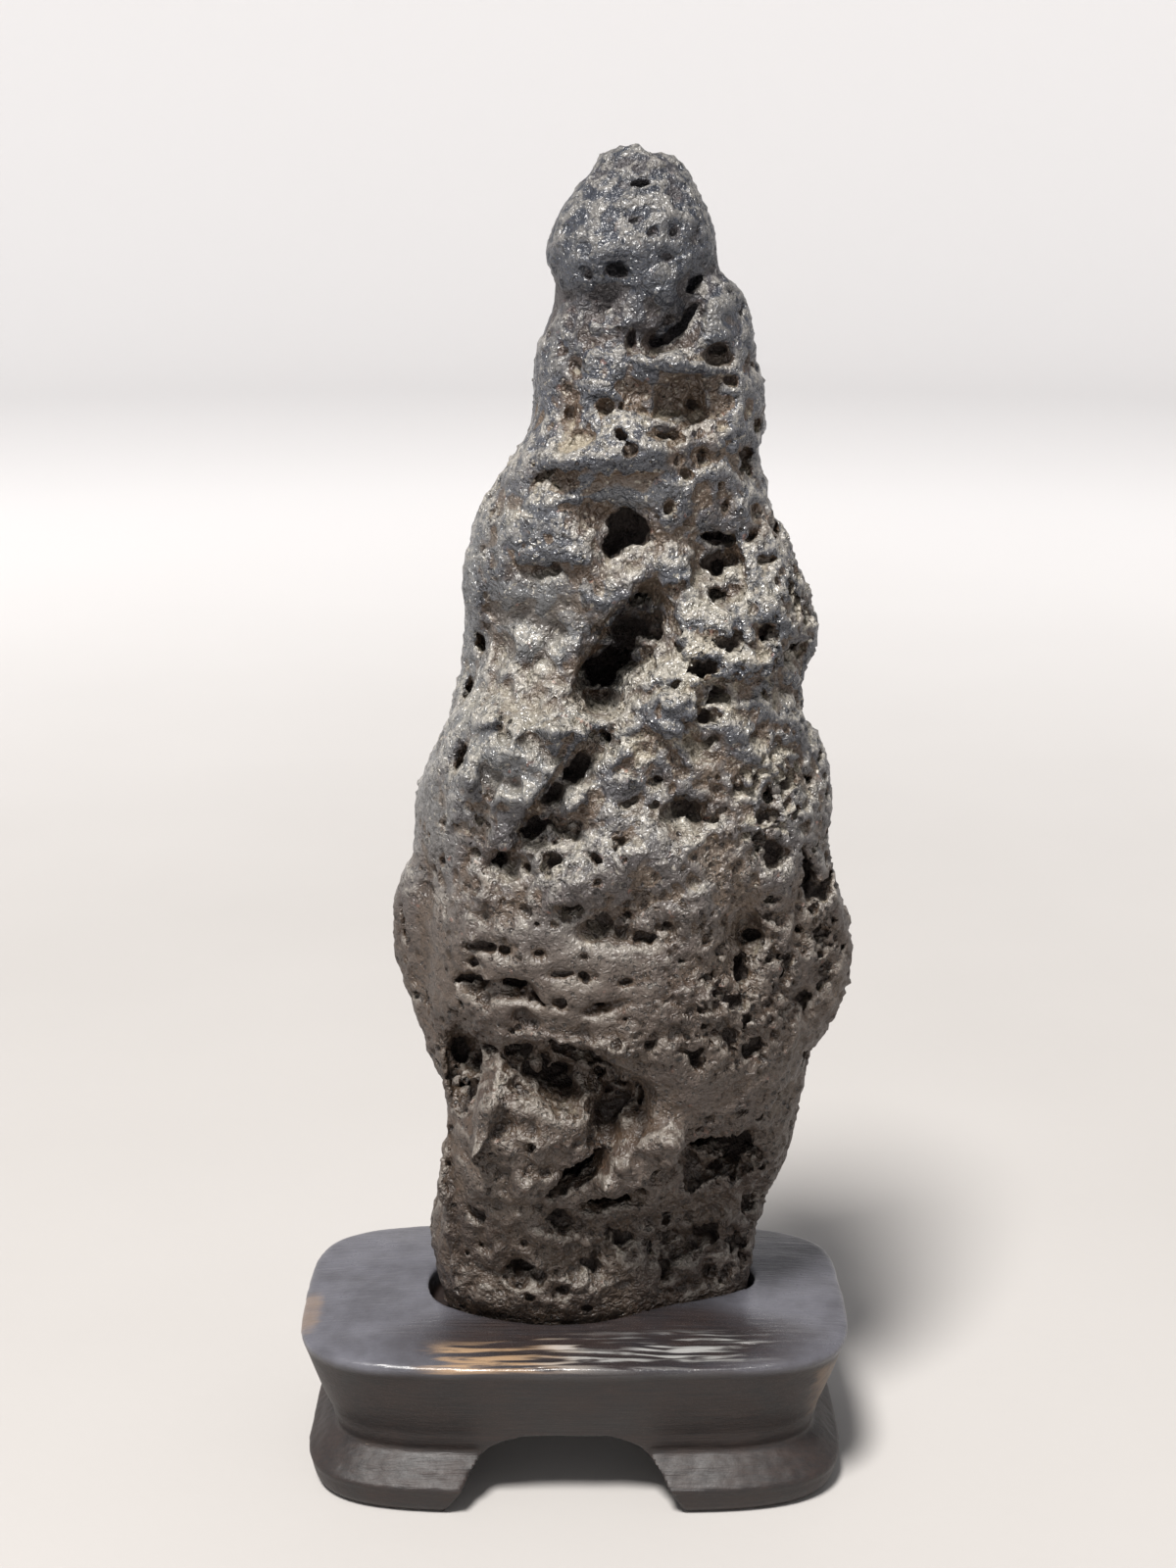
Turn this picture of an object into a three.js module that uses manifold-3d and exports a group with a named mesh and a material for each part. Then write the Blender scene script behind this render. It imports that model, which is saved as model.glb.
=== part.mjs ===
// A scholar's rock: a pitted lava stone that stands like a mountain peak in a carved wooden stand.
// Millimetres, +Z up, the front faces -Y. The origin is on the floor, under the middle of the stand.
import * as THREE from "three";
import { mergeVertices } from "three/addons/utils/BufferGeometryUtils.js";
import { ImprovedNoise } from "three/addons/math/ImprovedNoise.js";
import Module from "manifold-3d";

const wasm = await Module();
wasm.setup();

// ---- Driving dimensions ----

// The stand is one block of wood: a crowned plate over a waist, a foot moulding, and four feet.
const STAND_WIDTH = 50.5;
const STAND_DEPTH = 28.8;
const RIM_HEIGHT = 15; // the plate's sharp edge
const CROWN = 1.3; // how far the plate's middle stands above its edge
const PLAN_POWER = 4.4; // superellipse power of the plan: 2 is an ellipse, a large one a rectangle

// How far the stand's side is inset from the plate's edge, from the floor up: [inset, height].
const STAND_PROFILE = [
  [1.5, 0],
  [0.95, 0.7],
  [0.7, 1.7],
  [0.75, 2.6],
  [1.1, 3.3],
  [1.8, 4.1],
  [2.45, 4.9],
  [2.75, 5.9],
  [2.6, 7.2],
  [1.85, 9.2],
  [1.05, 11.6],
  [0.45, 13.6],
  [0.05, 14.6],
  [0, RIM_HEIGHT],
  [0.45, RIM_HEIGHT + 0.25],
];
const PLATE_RINGS = [0.95, 0.82, 0.64, 0.42]; // shares of the plan, out to in
const STAND_SEGMENTS = 72;

// The arches between the feet, and the hollow under the stand that joins them.
const FRONT_ARCH = { centre: -0.8, halfWidth: 10.9, height: 6.9 };
const SIDE_ARCH = { centre: 0, halfWidth: 5.6, height: 2.4 };
const HOLLOW = { halfWidth: 18.5, halfDepth: 7.6, height: 6.9 };

// The seat is a pocket in the plate that follows the foot of the rock.
const SEAT_FLOOR = 13.4;
const SEAT_GAP = 0.4; // all round the rock
const REST_GAP = 0.3; // under the rock

// The rock's outline seen from the front, from its foot to its peak: [height, x].
const ROCK_BOTTOM = SEAT_FLOOR + REST_GAP;
const ROCK_TOP = 119;
const PEAK_X = 5.6;
const LEFT_EDGE = [
  [ROCK_BOTTOM, -13.0],
  [18, -13.4],
  [24, -13.2],
  [30, -12.7],
  [34, -12.1],
  [38, -12.9],
  [42, -14.3],
  [46, -15.8],
  [51, -16.6],
  [55, -15.9],
  [60, -14.0],
  [64, -13.5],
  [68, -12.1],
  [73, -10.7],
  [79, -9.9],
  [85, -9.0],
  [89, -7.9],
  [92, -6.6],
  [95, -5.0],
  [99, -4.1],
  [104, -2.7],
  [107, -1.4],
  [110, -1.8],
  [112.5, -1.2],
  [114.2, -0.3],
  [115.6, 0.7],
  [117.2, 1.6],
  [118.5, 3.1],
  [ROCK_TOP, PEAK_X],
];
const RIGHT_EDGE = [
  [ROCK_BOTTOM, 16.6],
  [20, 17.2],
  [26, 18.6],
  [34, 20.2],
  [38, 21.5],
  [42, 23.5],
  [46, 24.8],
  [50, 25.1],
  [54, 24.9],
  [57.5, 23.9],
  [60, 22.9],
  [65, 22.6],
  [69, 21.9],
  [72, 21.3],
  [74.5, 19.8],
  [77.5, 20.6],
  [82, 20.3],
  [84.5, 18.3],
  [88, 17.7],
  [91, 16.3],
  [94, 15.6],
  [96.5, 16.5],
  [100, 16.2],
  [104, 15.2],
  [107, 14.1],
  [109, 12.3],
  [112, 11.8],
  [114.3, 10.7],
  [115.6, 10.0],
  [117.2, 9.1],
  [118.5, 7.7],
  [ROCK_TOP, PEAK_X],
];

// The same seen from the side: [height, y].
const PEAK_Y = 0.8;
const FRONT_EDGE = [
  [ROCK_BOTTOM, -7.1],
  [20, -8.0],
  [30, -10.2],
  [40, -12.0],
  [50, -12.7],
  [60, -12.3],
  [70, -11.2],
  [80, -10.0],
  [90, -8.9],
  [98, -7.5],
  [106, -6.2],
  [112, -5.2],
  [115.5, -3.9],
  [117.2, -2.9],
  [118.5, -1.3],
  [ROCK_TOP, PEAK_Y],
];
const BACK_EDGE = [
  [ROCK_BOTTOM, 8.6],
  [20, 9.6],
  [32, 11.4],
  [44, 12.9],
  [54, 13.2],
  [64, 12.2],
  [76, 11.0],
  [88, 9.4],
  [98, 8.2],
  [106, 7.2],
  [112, 6.1],
  [115.5, 5.0],
  [117.2, 4.1],
  [118.5, 2.8],
  [ROCK_TOP, PEAK_Y],
];
const SECTION_POWER = 2.25;

// Flats that cut the round sections: each keeps x * nx + y * ny under its reach, round its height.
const FLAT_SOFTNESS = 0.7; // how gently the section bends into a flat
const FLATS = [
  { nx: 0.42, ny: -0.907, reach: 7.2, height: 16, span: 14 }, // right front, at the foot
  { nx: -0.8, ny: -0.6, reach: 13.3, height: 50, span: 17 }, // left front, the widest part
  { nx: 0.62, ny: -0.785, reach: 18.4, height: 44, span: 18 }, // right front
  { nx: -0.7, ny: -0.714, reach: 9.6, height: 84, span: 13 }, // left front, the upper part
  { nx: 0.55, ny: 0.835, reach: 17.2, height: 62, span: 24 }, // right back
  { nx: -0.6, ny: 0.8, reach: 13.4, height: 36, span: 20 }, // left back
];

// Broad forms. side is the way a form faces; at is its place across that side (x on the front and
// back, y on the left and right) and its height; size is its width and height; lift is how far it
// stands out, or in if negative; lean turns it, in degrees, anticlockwise as seen on that side.
const SIDES = {
  front: new THREE.Vector3(0, -1, 0),
  back: new THREE.Vector3(0, 1, 0),
  left: new THREE.Vector3(-1, 0, 0),
  right: new THREE.Vector3(1, 0, 0),
};
const FORMS = [
  // front, from the peak down
  { side: "front", at: [4.5, 112], size: [12, 11], lift: 0.7, lean: 0 }, // the head
  { side: "front", at: [9.3, 105.4], size: [9, 4], lift: -1.3, lean: 35 }, // cleft under it
  { side: "front", at: [9.2, 102], size: [9, 2.4], lift: 0.9, lean: 0 }, // brow
  { side: "front", at: [9.0, 99], size: [9, 3.4], lift: -1.0, lean: 0 }, // panel under the brow
  { side: "front", at: [4.0, 95], size: [20, 3.2], lift: 0.9, lean: 8 }, // upper band
  { side: "front", at: [0.5, 91.6], size: [13, 2.4], lift: -0.7, lean: 6 },
  { side: "front", at: [4.2, 88.4], size: [6, 6], lift: -1.6, lean: 0 }, // round cave
  { side: "front", at: [12.2, 86.6], size: [6.4, 7], lift: -1.5, lean: 0 }, // square cave
  { side: "front", at: [-3.5, 81], size: [11, 11], lift: -0.8, lean: 0 }, // smooth panel
  { side: "front", at: [4.6, 78.4], size: [6.4, 14], lift: -1.9, lean: -32 }, // long gash
  { side: "front", at: [13, 76], size: [10, 9], lift: 1.0, lean: 20 }, // knobbly shoulder
  { side: "front", at: [-5, 67.5], size: [14, 12], lift: 1.7, lean: 0 }, // belly
  { side: "front", at: [-0.6, 66], size: [5, 14], lift: -1.3, lean: -34 }, // crack beside it
  { side: "front", at: [4, 60.6], size: [26, 5], lift: 1.0, lean: 14 }, // slanting band
  { side: "front", at: [16, 52], size: [11, 8], lift: -0.8, lean: 30 },
  { side: "front", at: [-1, 51], size: [20, 9], lift: 0.5, lean: 0 }, // smooth lower belly
  { side: "front", at: [0.8, 41.6], size: [14, 7], lift: -1.8, lean: -18 }, // wide cave
  { side: "front", at: [-9.6, 42.4], size: [6, 7], lift: -1.4, lean: 0 },
  { side: "front", at: [-5.6, 31], size: [12, 17], lift: 1.3, lean: 0 }, // left buttress
  { side: "front", at: [13.2, 32.8], size: [10, 7], lift: -1.8, lean: 8 }, // right cave
  { side: "front", at: [2.4, 30.4], size: [5, 13], lift: -1.3, lean: -48 },
  { side: "front", at: [9, 23.4], size: [12, 4], lift: -1.0, lean: 0 },
  // right
  { side: "right", at: [-2, 82], size: [9, 10], lift: 0.6, lean: 0 },
  { side: "right", at: [1, 71.5], size: [13, 3.4], lift: -1.0, lean: 10 },
  { side: "right", at: [2, 58], size: [8, 12], lift: -1.6, lean: 22 },
  { side: "right", at: [-4, 40], size: [9, 8], lift: -1.1, lean: 0 },
  { side: "right", at: [3, 29], size: [7, 12], lift: 0.9, lean: 0 },
  // back
  { side: "back", at: [5, 108], size: [10, 4], lift: -1.2, lean: 20 },
  { side: "back", at: [8, 96], size: [13, 8], lift: 1.2, lean: 0 },
  { side: "back", at: [1.5, 87], size: [7, 7], lift: -1.7, lean: 30 },
  { side: "back", at: [11, 76], size: [11, 5], lift: -1.8, lean: -24 },
  { side: "back", at: [-1, 70], size: [14, 12], lift: 1.1, lean: 0 },
  { side: "back", at: [13, 58], size: [9, 12], lift: 1.2, lean: 0 },
  { side: "back", at: [2, 52], size: [6, 15], lift: -1.8, lean: 28 },
  { side: "back", at: [-7, 44], size: [9, 7], lift: -1.4, lean: 0 },
  { side: "back", at: [8, 35], size: [14, 5], lift: -2.2, lean: -12 },
  { side: "back", at: [-3, 26], size: [12, 10], lift: 1.1, lean: 0 },
  // left
  { side: "left", at: [0, 97], size: [8, 6], lift: -1.0, lean: 20 },
  { side: "left", at: [-2, 76], size: [7, 9], lift: -1.2, lean: 0 },
  { side: "left", at: [4, 62], size: [8, 6], lift: 0.8, lean: 0 },
  { side: "left", at: [-4, 51], size: [3, 16], lift: -1.1, lean: -8 },
  { side: "left", at: [2, 32], size: [7, 12], lift: -1.4, lean: 0 },
];

// Unevenness all over: [wavelength, depth].
const UNEVEN = [
  [13, 0.55],
  [6, 0.35],
];
const ROCK_RINGS = 58;
const ROCK_SEGMENTS = 56;
const RING_EASE = 1.2; // above 1 draws the rings together towards the peak

const COLOURS = { rock: 0x57524d, wood: 0x2b2a2d };

// ---- Small helpers ----

const smoothstep = THREE.MathUtils.smoothstep;
const signedPower = (value, power) => Math.sign(value) * Math.abs(value) ** power;

// The value of an outline, given as [height, value] pairs, at any height.
function outline(pairs) {
  const curve = new THREE.CubicInterpolant(
    pairs.map(([height]) => height),
    pairs.map(([, value]) => value),
    1,
  );
  return (height) => curve.evaluate(height)[0];
}

function solidOf(geometry) {
  const bare = new THREE.BufferGeometry();
  bare.setAttribute("position", geometry.getAttribute("position"));
  bare.setIndex(geometry.index);
  const merged = mergeVertices(bare, 1e-3);
  return new wasm.Manifold(
    new wasm.Mesh({
      numProp: 3,
      vertProperties: merged.attributes.position.array,
      triVerts: new Uint32Array(merged.index.array),
    }),
  );
}

function geometryOf(solid) {
  const { vertProperties, triVerts } = solid.getMesh();
  const geometry = new THREE.BufferGeometry();
  geometry.setAttribute("position", new THREE.BufferAttribute(vertProperties, 3));
  geometry.setIndex(new THREE.BufferAttribute(triVerts, 1));
  geometry.computeVertexNormals();
  return geometry;
}

// ---- The rock ----

const leftEdge = outline(LEFT_EDGE);
const rightEdge = outline(RIGHT_EDGE);
const frontEdge = outline(FRONT_EDGE);
const backEdge = outline(BACK_EDGE);
const noise = new ImprovedNoise();

function centreAt(height) {
  return new THREE.Vector2(
    (leftEdge(height) + rightEdge(height)) / 2,
    (frontEdge(height) + backEdge(height)) / 2,
  );
}

// A point on the plain section: angle 0 is +X and a quarter turn is +Y.
function sectionPoint(angle, height) {
  const power = 2 / SECTION_POWER;
  const centre = centreAt(height);
  const point = new THREE.Vector2(
    ((rightEdge(height) - leftEdge(height)) / 2) * signedPower(Math.cos(angle), power),
    ((backEdge(height) - frontEdge(height)) / 2) * signedPower(Math.sin(angle), power),
  );
  for (const flat of FLATS) {
    const along = point.x * flat.nx + point.y * flat.ny;
    const reach = flat.reach - centre.x * flat.nx - centre.y * flat.ny;
    const nearness = 1 - smoothstep(Math.abs(height - flat.height), flat.span * 0.6, flat.span);
    if (along <= 0) continue;
    const kept = reach - FLAT_SOFTNESS * Math.log1p(Math.exp((reach - along) / FLAT_SOFTNESS));
    point.multiplyScalar(1 + (kept / along - 1) * nearness);
  }
  return point.add(centre);
}

// How far a form moves a point of the surface that faces the given way.
function formLift(form, point, facing) {
  const turn = THREE.MathUtils.degToRad(form.lean);
  const upright = form.side === "front" || form.side === "back";
  const mirrored = form.side === "back" || form.side === "left" ? -1 : 1;
  const across = ((upright ? point.x : point.y) - form.at[0]) * mirrored;
  const up = point.z - form.at[1];
  const u = (across * Math.cos(turn) + up * Math.sin(turn)) / (form.size[0] / 2);
  const v = (up * Math.cos(turn) - across * Math.sin(turn)) / (form.size[1] / 2);
  const share = smoothstep(facing.dot(SIDES[form.side]), 0.15, 0.6);
  return form.lift * share * Math.exp(-((u * u + v * v) ** 1.3));
}

function rockPoint(angle, height) {
  const flat = sectionPoint(angle, height);
  const point = new THREE.Vector3(flat.x, flat.y, height);
  const centre = centreAt(height);
  const facing = new THREE.Vector3(flat.x - centre.x, flat.y - centre.y, 0);
  const halfWidth = (rightEdge(height) - leftEdge(height)) / 2;
  const halfDepth = (backEdge(height) - frontEdge(height)) / 2;
  facing.set(facing.x / halfWidth ** 2, facing.y / halfDepth ** 2, 0).normalize();
  let lift = 0;
  for (const form of FORMS) lift += formLift(form, point, facing);
  for (const [wavelength, depth] of UNEVEN) {
    const at = point.clone().divideScalar(wavelength);
    lift += depth * noise.noise(at.x + 7.3, at.y + 2.1, at.z);
  }
  // The foot stays plain, to fit its seat, and the peak stays whole.
  const share = smoothstep(height, 17, 22) * smoothstep(ROCK_TOP - height, 0, 4);
  return point.addScaledVector(facing, lift * share);
}

function rockGeometry() {
  const sphere = new THREE.SphereGeometry(1, ROCK_SEGMENTS, ROCK_RINGS);
  const position = sphere.getAttribute("position");
  const bottom = centreAt(ROCK_BOTTOM);
  for (let ring = 0; ring <= ROCK_RINGS; ring++) {
    // The sphere's rings run from its peak down. The lowest is the middle of the flat foot.
    const share = 1 - ring / (ROCK_RINGS - 1);
    const fall = Math.max(0, 1 - share) ** RING_EASE;
    const height = ROCK_TOP - (ROCK_TOP - ROCK_BOTTOM) * Math.min(1, fall);
    for (let step = 0; step <= ROCK_SEGMENTS; step++) {
      const angle = ((step % ROCK_SEGMENTS) / ROCK_SEGMENTS) * 2 * Math.PI;
      const point =
        ring === 0
          ? new THREE.Vector3(PEAK_X, PEAK_Y, ROCK_TOP)
          : ring === ROCK_RINGS
            ? new THREE.Vector3(bottom.x, bottom.y, ROCK_BOTTOM)
            : rockPoint(angle, height);
      position.setXYZ(ring * (ROCK_SEGMENTS + 1) + step, point.x, point.y, point.z);
    }
  }
  const solid = solidOf(sphere);
  return geometryOf(solid);
}

// ---- The stand ----

// A point of the plan, inset from the plate's edge and then drawn in towards the middle.
function planPoint(angle, inset, share = 1) {
  const power = 2 / PLAN_POWER;
  return new THREE.Vector2(
    (STAND_WIDTH / 2 - inset) * signedPower(Math.cos(angle), power) * share,
    (STAND_DEPTH / 2 - inset) * signedPower(Math.sin(angle), power) * share,
  );
}

function standBlock() {
  const [topInset, topHeight] = STAND_PROFILE.at(-1);
  const rings = [
    { inset: STAND_PROFILE[0][0], height: 0, share: 0 },
    ...STAND_PROFILE.map(([inset, height]) => ({ inset, height, share: 1 })),
    ...PLATE_RINGS.map((share) => ({
      inset: topInset,
      height: topHeight + (CROWN - topHeight + RIM_HEIGHT) * (1 - share ** 2),
      share,
    })),
    { inset: topInset, height: RIM_HEIGHT + CROWN, share: 0 },
  ];
  const profile = rings.map(({ height, share }) => new THREE.Vector2(share, height));
  const lathe = new THREE.LatheGeometry(profile, STAND_SEGMENTS);
  const position = lathe.getAttribute("position");
  for (let step = 0; step <= STAND_SEGMENTS; step++) {
    const angle = ((step % STAND_SEGMENTS) / STAND_SEGMENTS) * 2 * Math.PI;
    rings.forEach(({ inset, height, share }, ring) => {
      const plan = planPoint(angle, inset, share);
      position.setXYZ(step * rings.length + ring, plan.x, plan.y, height);
    });
  }
  return solidOf(lathe);
}

// An arch's outline, from below the floor, with straight legs that curve over into a flat top.
function archShape({ centre, halfWidth, height }) {
  const below = -1;
  const legTop = height * 0.58;
  const legLean = halfWidth * 0.23;
  const flatHalf = halfWidth * 0.3;
  const shape = new THREE.Shape();
  shape.moveTo(centre - halfWidth, below);
  shape.lineTo(centre + halfWidth, below);
  shape.lineTo(centre + halfWidth, 0);
  shape.lineTo(centre + halfWidth - legLean, legTop);
  shape.quadraticCurveTo(centre + halfWidth - 2 * legLean, height, centre + flatHalf, height);
  shape.lineTo(centre - flatHalf, height);
  shape.quadraticCurveTo(
    centre - halfWidth + 2 * legLean,
    height,
    centre - halfWidth + legLean,
    legTop,
  );
  shape.lineTo(centre - halfWidth, 0);
  return shape;
}

// The arch's outline run right through the stand: across it for the front, along it for the sides.
function archCutter(arch, turn) {
  const length = STAND_WIDTH * 1.2;
  const geometry = new THREE.ExtrudeGeometry(archShape(arch), {
    depth: length,
    bevelEnabled: false,
    curveSegments: 8,
  });
  geometry.translate(0, 0, -length / 2);
  geometry.rotateX(Math.PI / 2);
  geometry.rotateZ(turn);
  return solidOf(geometry);
}

// A prism on a plan that a function of the angle gives.
function prism(pointAt, segments, from, to) {
  const shape = new THREE.Shape();
  for (let step = 0; step < segments; step++) {
    const { x, y } = pointAt((step / segments) * 2 * Math.PI);
    if (step === 0) shape.moveTo(x, y);
    else shape.lineTo(x, y);
  }
  const geometry = new THREE.ExtrudeGeometry(shape, { depth: to - from, bevelEnabled: false });
  geometry.translate(0, 0, from);
  return solidOf(geometry);
}

function hollowPoint(angle) {
  const power = 2 / PLAN_POWER;
  return new THREE.Vector2(
    HOLLOW.halfWidth * signedPower(Math.cos(angle), power),
    HOLLOW.halfDepth * signedPower(Math.sin(angle), power),
  );
}

function seatPoint(angle) {
  const top = RIM_HEIGHT + CROWN;
  const point = sectionPoint(angle, top);
  const outward = point.clone().sub(centreAt(top)).normalize();
  return point.addScaledVector(outward, SEAT_GAP);
}

function standGeometry() {
  const above = RIM_HEIGHT + CROWN + 2;
  const solid = standBlock()
    .subtract(archCutter(FRONT_ARCH, 0))
    .subtract(archCutter(SIDE_ARCH, Math.PI / 2))
    .subtract(prism(hollowPoint, STAND_SEGMENTS / 2, -1, HOLLOW.height))
    .subtract(prism(seatPoint, ROCK_SEGMENTS, SEAT_FLOOR, above));
  return geometryOf(solid);
}

// ---- The object ----

function piece(name, geometry, colour, roughness) {
  const material = new THREE.MeshStandardMaterial({ color: colour, roughness, metalness: 0 });
  const mesh = new THREE.Mesh(geometry, material);
  mesh.name = name;
  return mesh;
}

const scholarsRock = new THREE.Group();
scholarsRock.add(piece("rock", rockGeometry(), COLOURS.rock, 0.6));
scholarsRock.add(piece("stand", standGeometry(), COLOURS.wood, 0.45));

export default scholarsRock;
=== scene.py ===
"""Scholar's rock on its carved stand: fine surfaces, materials and stage, as an add-on run as a script."""
import math

import bmesh
import bpy
import numpy as np
from bpy.props import FloatProperty, FloatVectorProperty, IntProperty, PointerProperty
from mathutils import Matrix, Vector, noise
from mathutils.bvhtree import BVHTree
from mathutils.kdtree import KDTree


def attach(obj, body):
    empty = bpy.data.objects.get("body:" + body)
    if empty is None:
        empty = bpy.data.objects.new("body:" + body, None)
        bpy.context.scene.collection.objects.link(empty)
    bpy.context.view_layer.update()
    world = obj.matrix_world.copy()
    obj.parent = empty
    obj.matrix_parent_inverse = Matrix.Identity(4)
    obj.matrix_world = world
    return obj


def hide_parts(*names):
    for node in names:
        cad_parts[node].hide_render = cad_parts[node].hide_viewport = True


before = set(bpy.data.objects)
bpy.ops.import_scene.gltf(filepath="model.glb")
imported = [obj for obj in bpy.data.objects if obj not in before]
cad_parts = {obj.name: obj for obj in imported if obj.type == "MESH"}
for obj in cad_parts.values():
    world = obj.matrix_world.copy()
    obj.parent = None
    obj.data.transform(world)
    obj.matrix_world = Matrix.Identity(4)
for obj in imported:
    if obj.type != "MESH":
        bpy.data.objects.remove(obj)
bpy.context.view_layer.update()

bl_info = {
    "name": "Scholar's rock",
    "version": (1, 0, 0),
    "blender": (4, 5, 0),
    "location": "View3D > Sidebar > Scholar's rock",
    "description": "A pitted lava stone in a carved dark stand, modelled over its packed solids",
    "category": "Add Mesh",
}

MM = 0.001  # pieces are modelled in millimetres and turned to metres when they are finished
BUBBLE_VOXEL = 0.15  # mesh size of the caves and pores before they are cut
LIFT_UNIT = 1.6  # millimetres to a lift of 1 in FRONT_RELIEF
SQUARED = 3  # past this squareness a form has a crisp edge
OUT_OF_ROUND = 0.34  # how far a bubble is pushed about, for a radius of one millimetre
FLOW_SLANT = math.radians(14)  # the lava's flow rises to the right on the front

# Directions that the stone is carved from. Across is x on the front and back, and y on the sides.
FRONT, RIGHT, BACK, LEFT = (0, -1, 0), (1, 0, 0), (0, 1, 0), (-1, 0, 0)

# Broad hollows and swellings on the stone's front: x, height, width and tall in millimetres,
# lift (in if negative) in units of LIFT_UNIT, lean in degrees, squareness (2 is an ellipse).
FRONT_RELIEF = (
    (4.8, 112.6, 9.0, 9.0, 0.3, 0, 2),  # the round head
    (1.6, 107.2, 6.0, 1.0, -0.45, 5, 2),  # under the head's left lip
    (2.0, 104.7, 3.6, 1.2, 0.45, 0, 2),
    (11.8, 105.2, 3.8, 5.0, 0.5, 0, 3),  # smooth shoulder right of the cleft
    (12.0, 102.5, 3.2, 1.3, -0.7, 0, 2),
    (7.0, 103.6, 5.0, 1.6, -0.8, 14, 2),  # the cleft under the head
    (8.6, 101.9, 7.6, 1.1, 0.6, -6, 3),  # brow ledge
    (8.7, 99.4, 4.2, 3.4, -0.75, 0, 5),  # squared panel under the brow
    (13.3, 98.8, 2.6, 4.4, 0.35, 0, 2),
    (7.6, 96.5, 2.8, 1.2, -0.7, 0, 2),
    (2.4, 99.8, 5.0, 1.2, 0.35, -12, 2),
    (3.6, 94.9, 15.0, 2.6, 0.45, 9, 2),  # worn band
    (-1.7, 92.4, 5.0, 1.3, -0.5, 16, 2),
    (-0.8, 90.9, 8.0, 0.9, 0.45, 4, 2),  # bright lip under it
    (1.5, 86.6, 4.6, 1.1, 0.35, 8, 2),
    (-3.0, 84.9, 3.8, 1.6, -0.5, 0, 2),
    (-3.2, 82.4, 4.8, 2.2, 0.3, 0, 2),
    (8.6, 84.9, 3.6, 3.2, 0.4, 0, 2),  # bridge between the two caves
    (12.0, 84.6, 5.2, 5.0, -0.9, 0, 4),  # square cave's frame
    (4.8, 79.2, 5.0, 12.0, -2.5, -34, 2),  # the long gash
    (2.6, 75.6, 4.8, 4.8, -1.4, 0, 2),
    (12.6, 77.6, 9.0, 3.0, 0.7, -8, 2),  # crusted shoulder
    (8.2, 73.6, 4.0, 4.4, 0.5, 0, 2),
    (16.6, 81.0, 3.0, 7.0, 0.4, 8, 3),
    (-3.4, 79.6, 11.0, 9.0, -0.8, 0, 3),  # panel over the belly
    (-4.2, 69.6, 11.5, 8.6, 1.3, -6, 4),  # the belly, and the ledge along its top
    (0.8, 72.4, 5.0, 3.6, 0.5, 0, 3),
    (-1.0, 67.0, 2.4, 10.5, -1.3, -38, 2),  # the crack beside it
    (-0.6, 62.8, 6.5, 2.2, -0.8, -6, 2),
    (-6.0, 60.6, 7.0, 2.0, -0.45, 0, 2),
    (4.4, 69.2, 4.0, 4.0, 0.45, 0, 2),
    (9.2, 64.8, 3.6, 3.2, -0.9, 0, 3),
    (5.0, 61.4, 17.0, 3.2, 0.45, 20, 2),  # slanting band
    (10.0, 57.5, 12.0, 2.8, 0.3, 24, 2),
    (-3.5, 57.8, 12.0, 1.5, 0.3, 4, 2),
    (3.8, 54.8, 8.0, 1.6, -0.4, -6, 2),
    (15.0, 52.0, 3.2, 7.0, -0.7, 6, 2),
    (12.0, 48.2, 8.0, 3.0, 0.35, 20, 2),
    (-6.4, 49.2, 9.0, 1.9, -0.8, 3, 2),  # the lower belly's long hollow
    (3.0, 48.4, 5.0, 0.9, -0.5, 14, 2),
    (-4.2, 46.6, 2.8, 2.6, -0.6, 0, 2),
    (1.6, 45.0, 12.0, 1.1, 0.5, -4, 3),  # lip over the wide cave
    (-0.4, 41.2, 11.5, 5.6, -2.4, -20, 2),  # the wide cave
    (4.2, 37.4, 3.6, 7.0, -2.0, -34, 2),
    (-10.0, 40.0, 3.6, 7.5, -2.8, -6, 3),  # the left recess
    (-11.4, 27.0, 1.3, 17.0, 0.55, 2, 2),  # edge of the buttress
    (-7.4, 37.0, 2.0, 8.0, 1.1, -10, 2),  # buttress ridge
    (-5.6, 32.5, 8.5, 8.0, 0.6, 0, 4),
    (6.0, 33.8, 10.0, 3.6, 1.3, 42, 4),  # diagonal slab
    (0.6, 31.8, 8.0, 1.8, -1.4, 38, 2),
    (3.4, 28.0, 6.5, 1.7, -1.2, 12, 2),
    (-1.6, 25.0, 9.0, 1.4, 0.45, -16, 2),
    (13.4, 31.4, 7.2, 4.6, -1.9, 6, 4),  # the right cave
    (9.6, 21.4, 7.0, 3.2, -0.6, 0, 2),
    (14.6, 23.0, 3.2, 6.0, 0.5, 0, 2),
    (-4.4, 20.4, 4.4, 2.4, -0.6, 0, 2),
)

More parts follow.
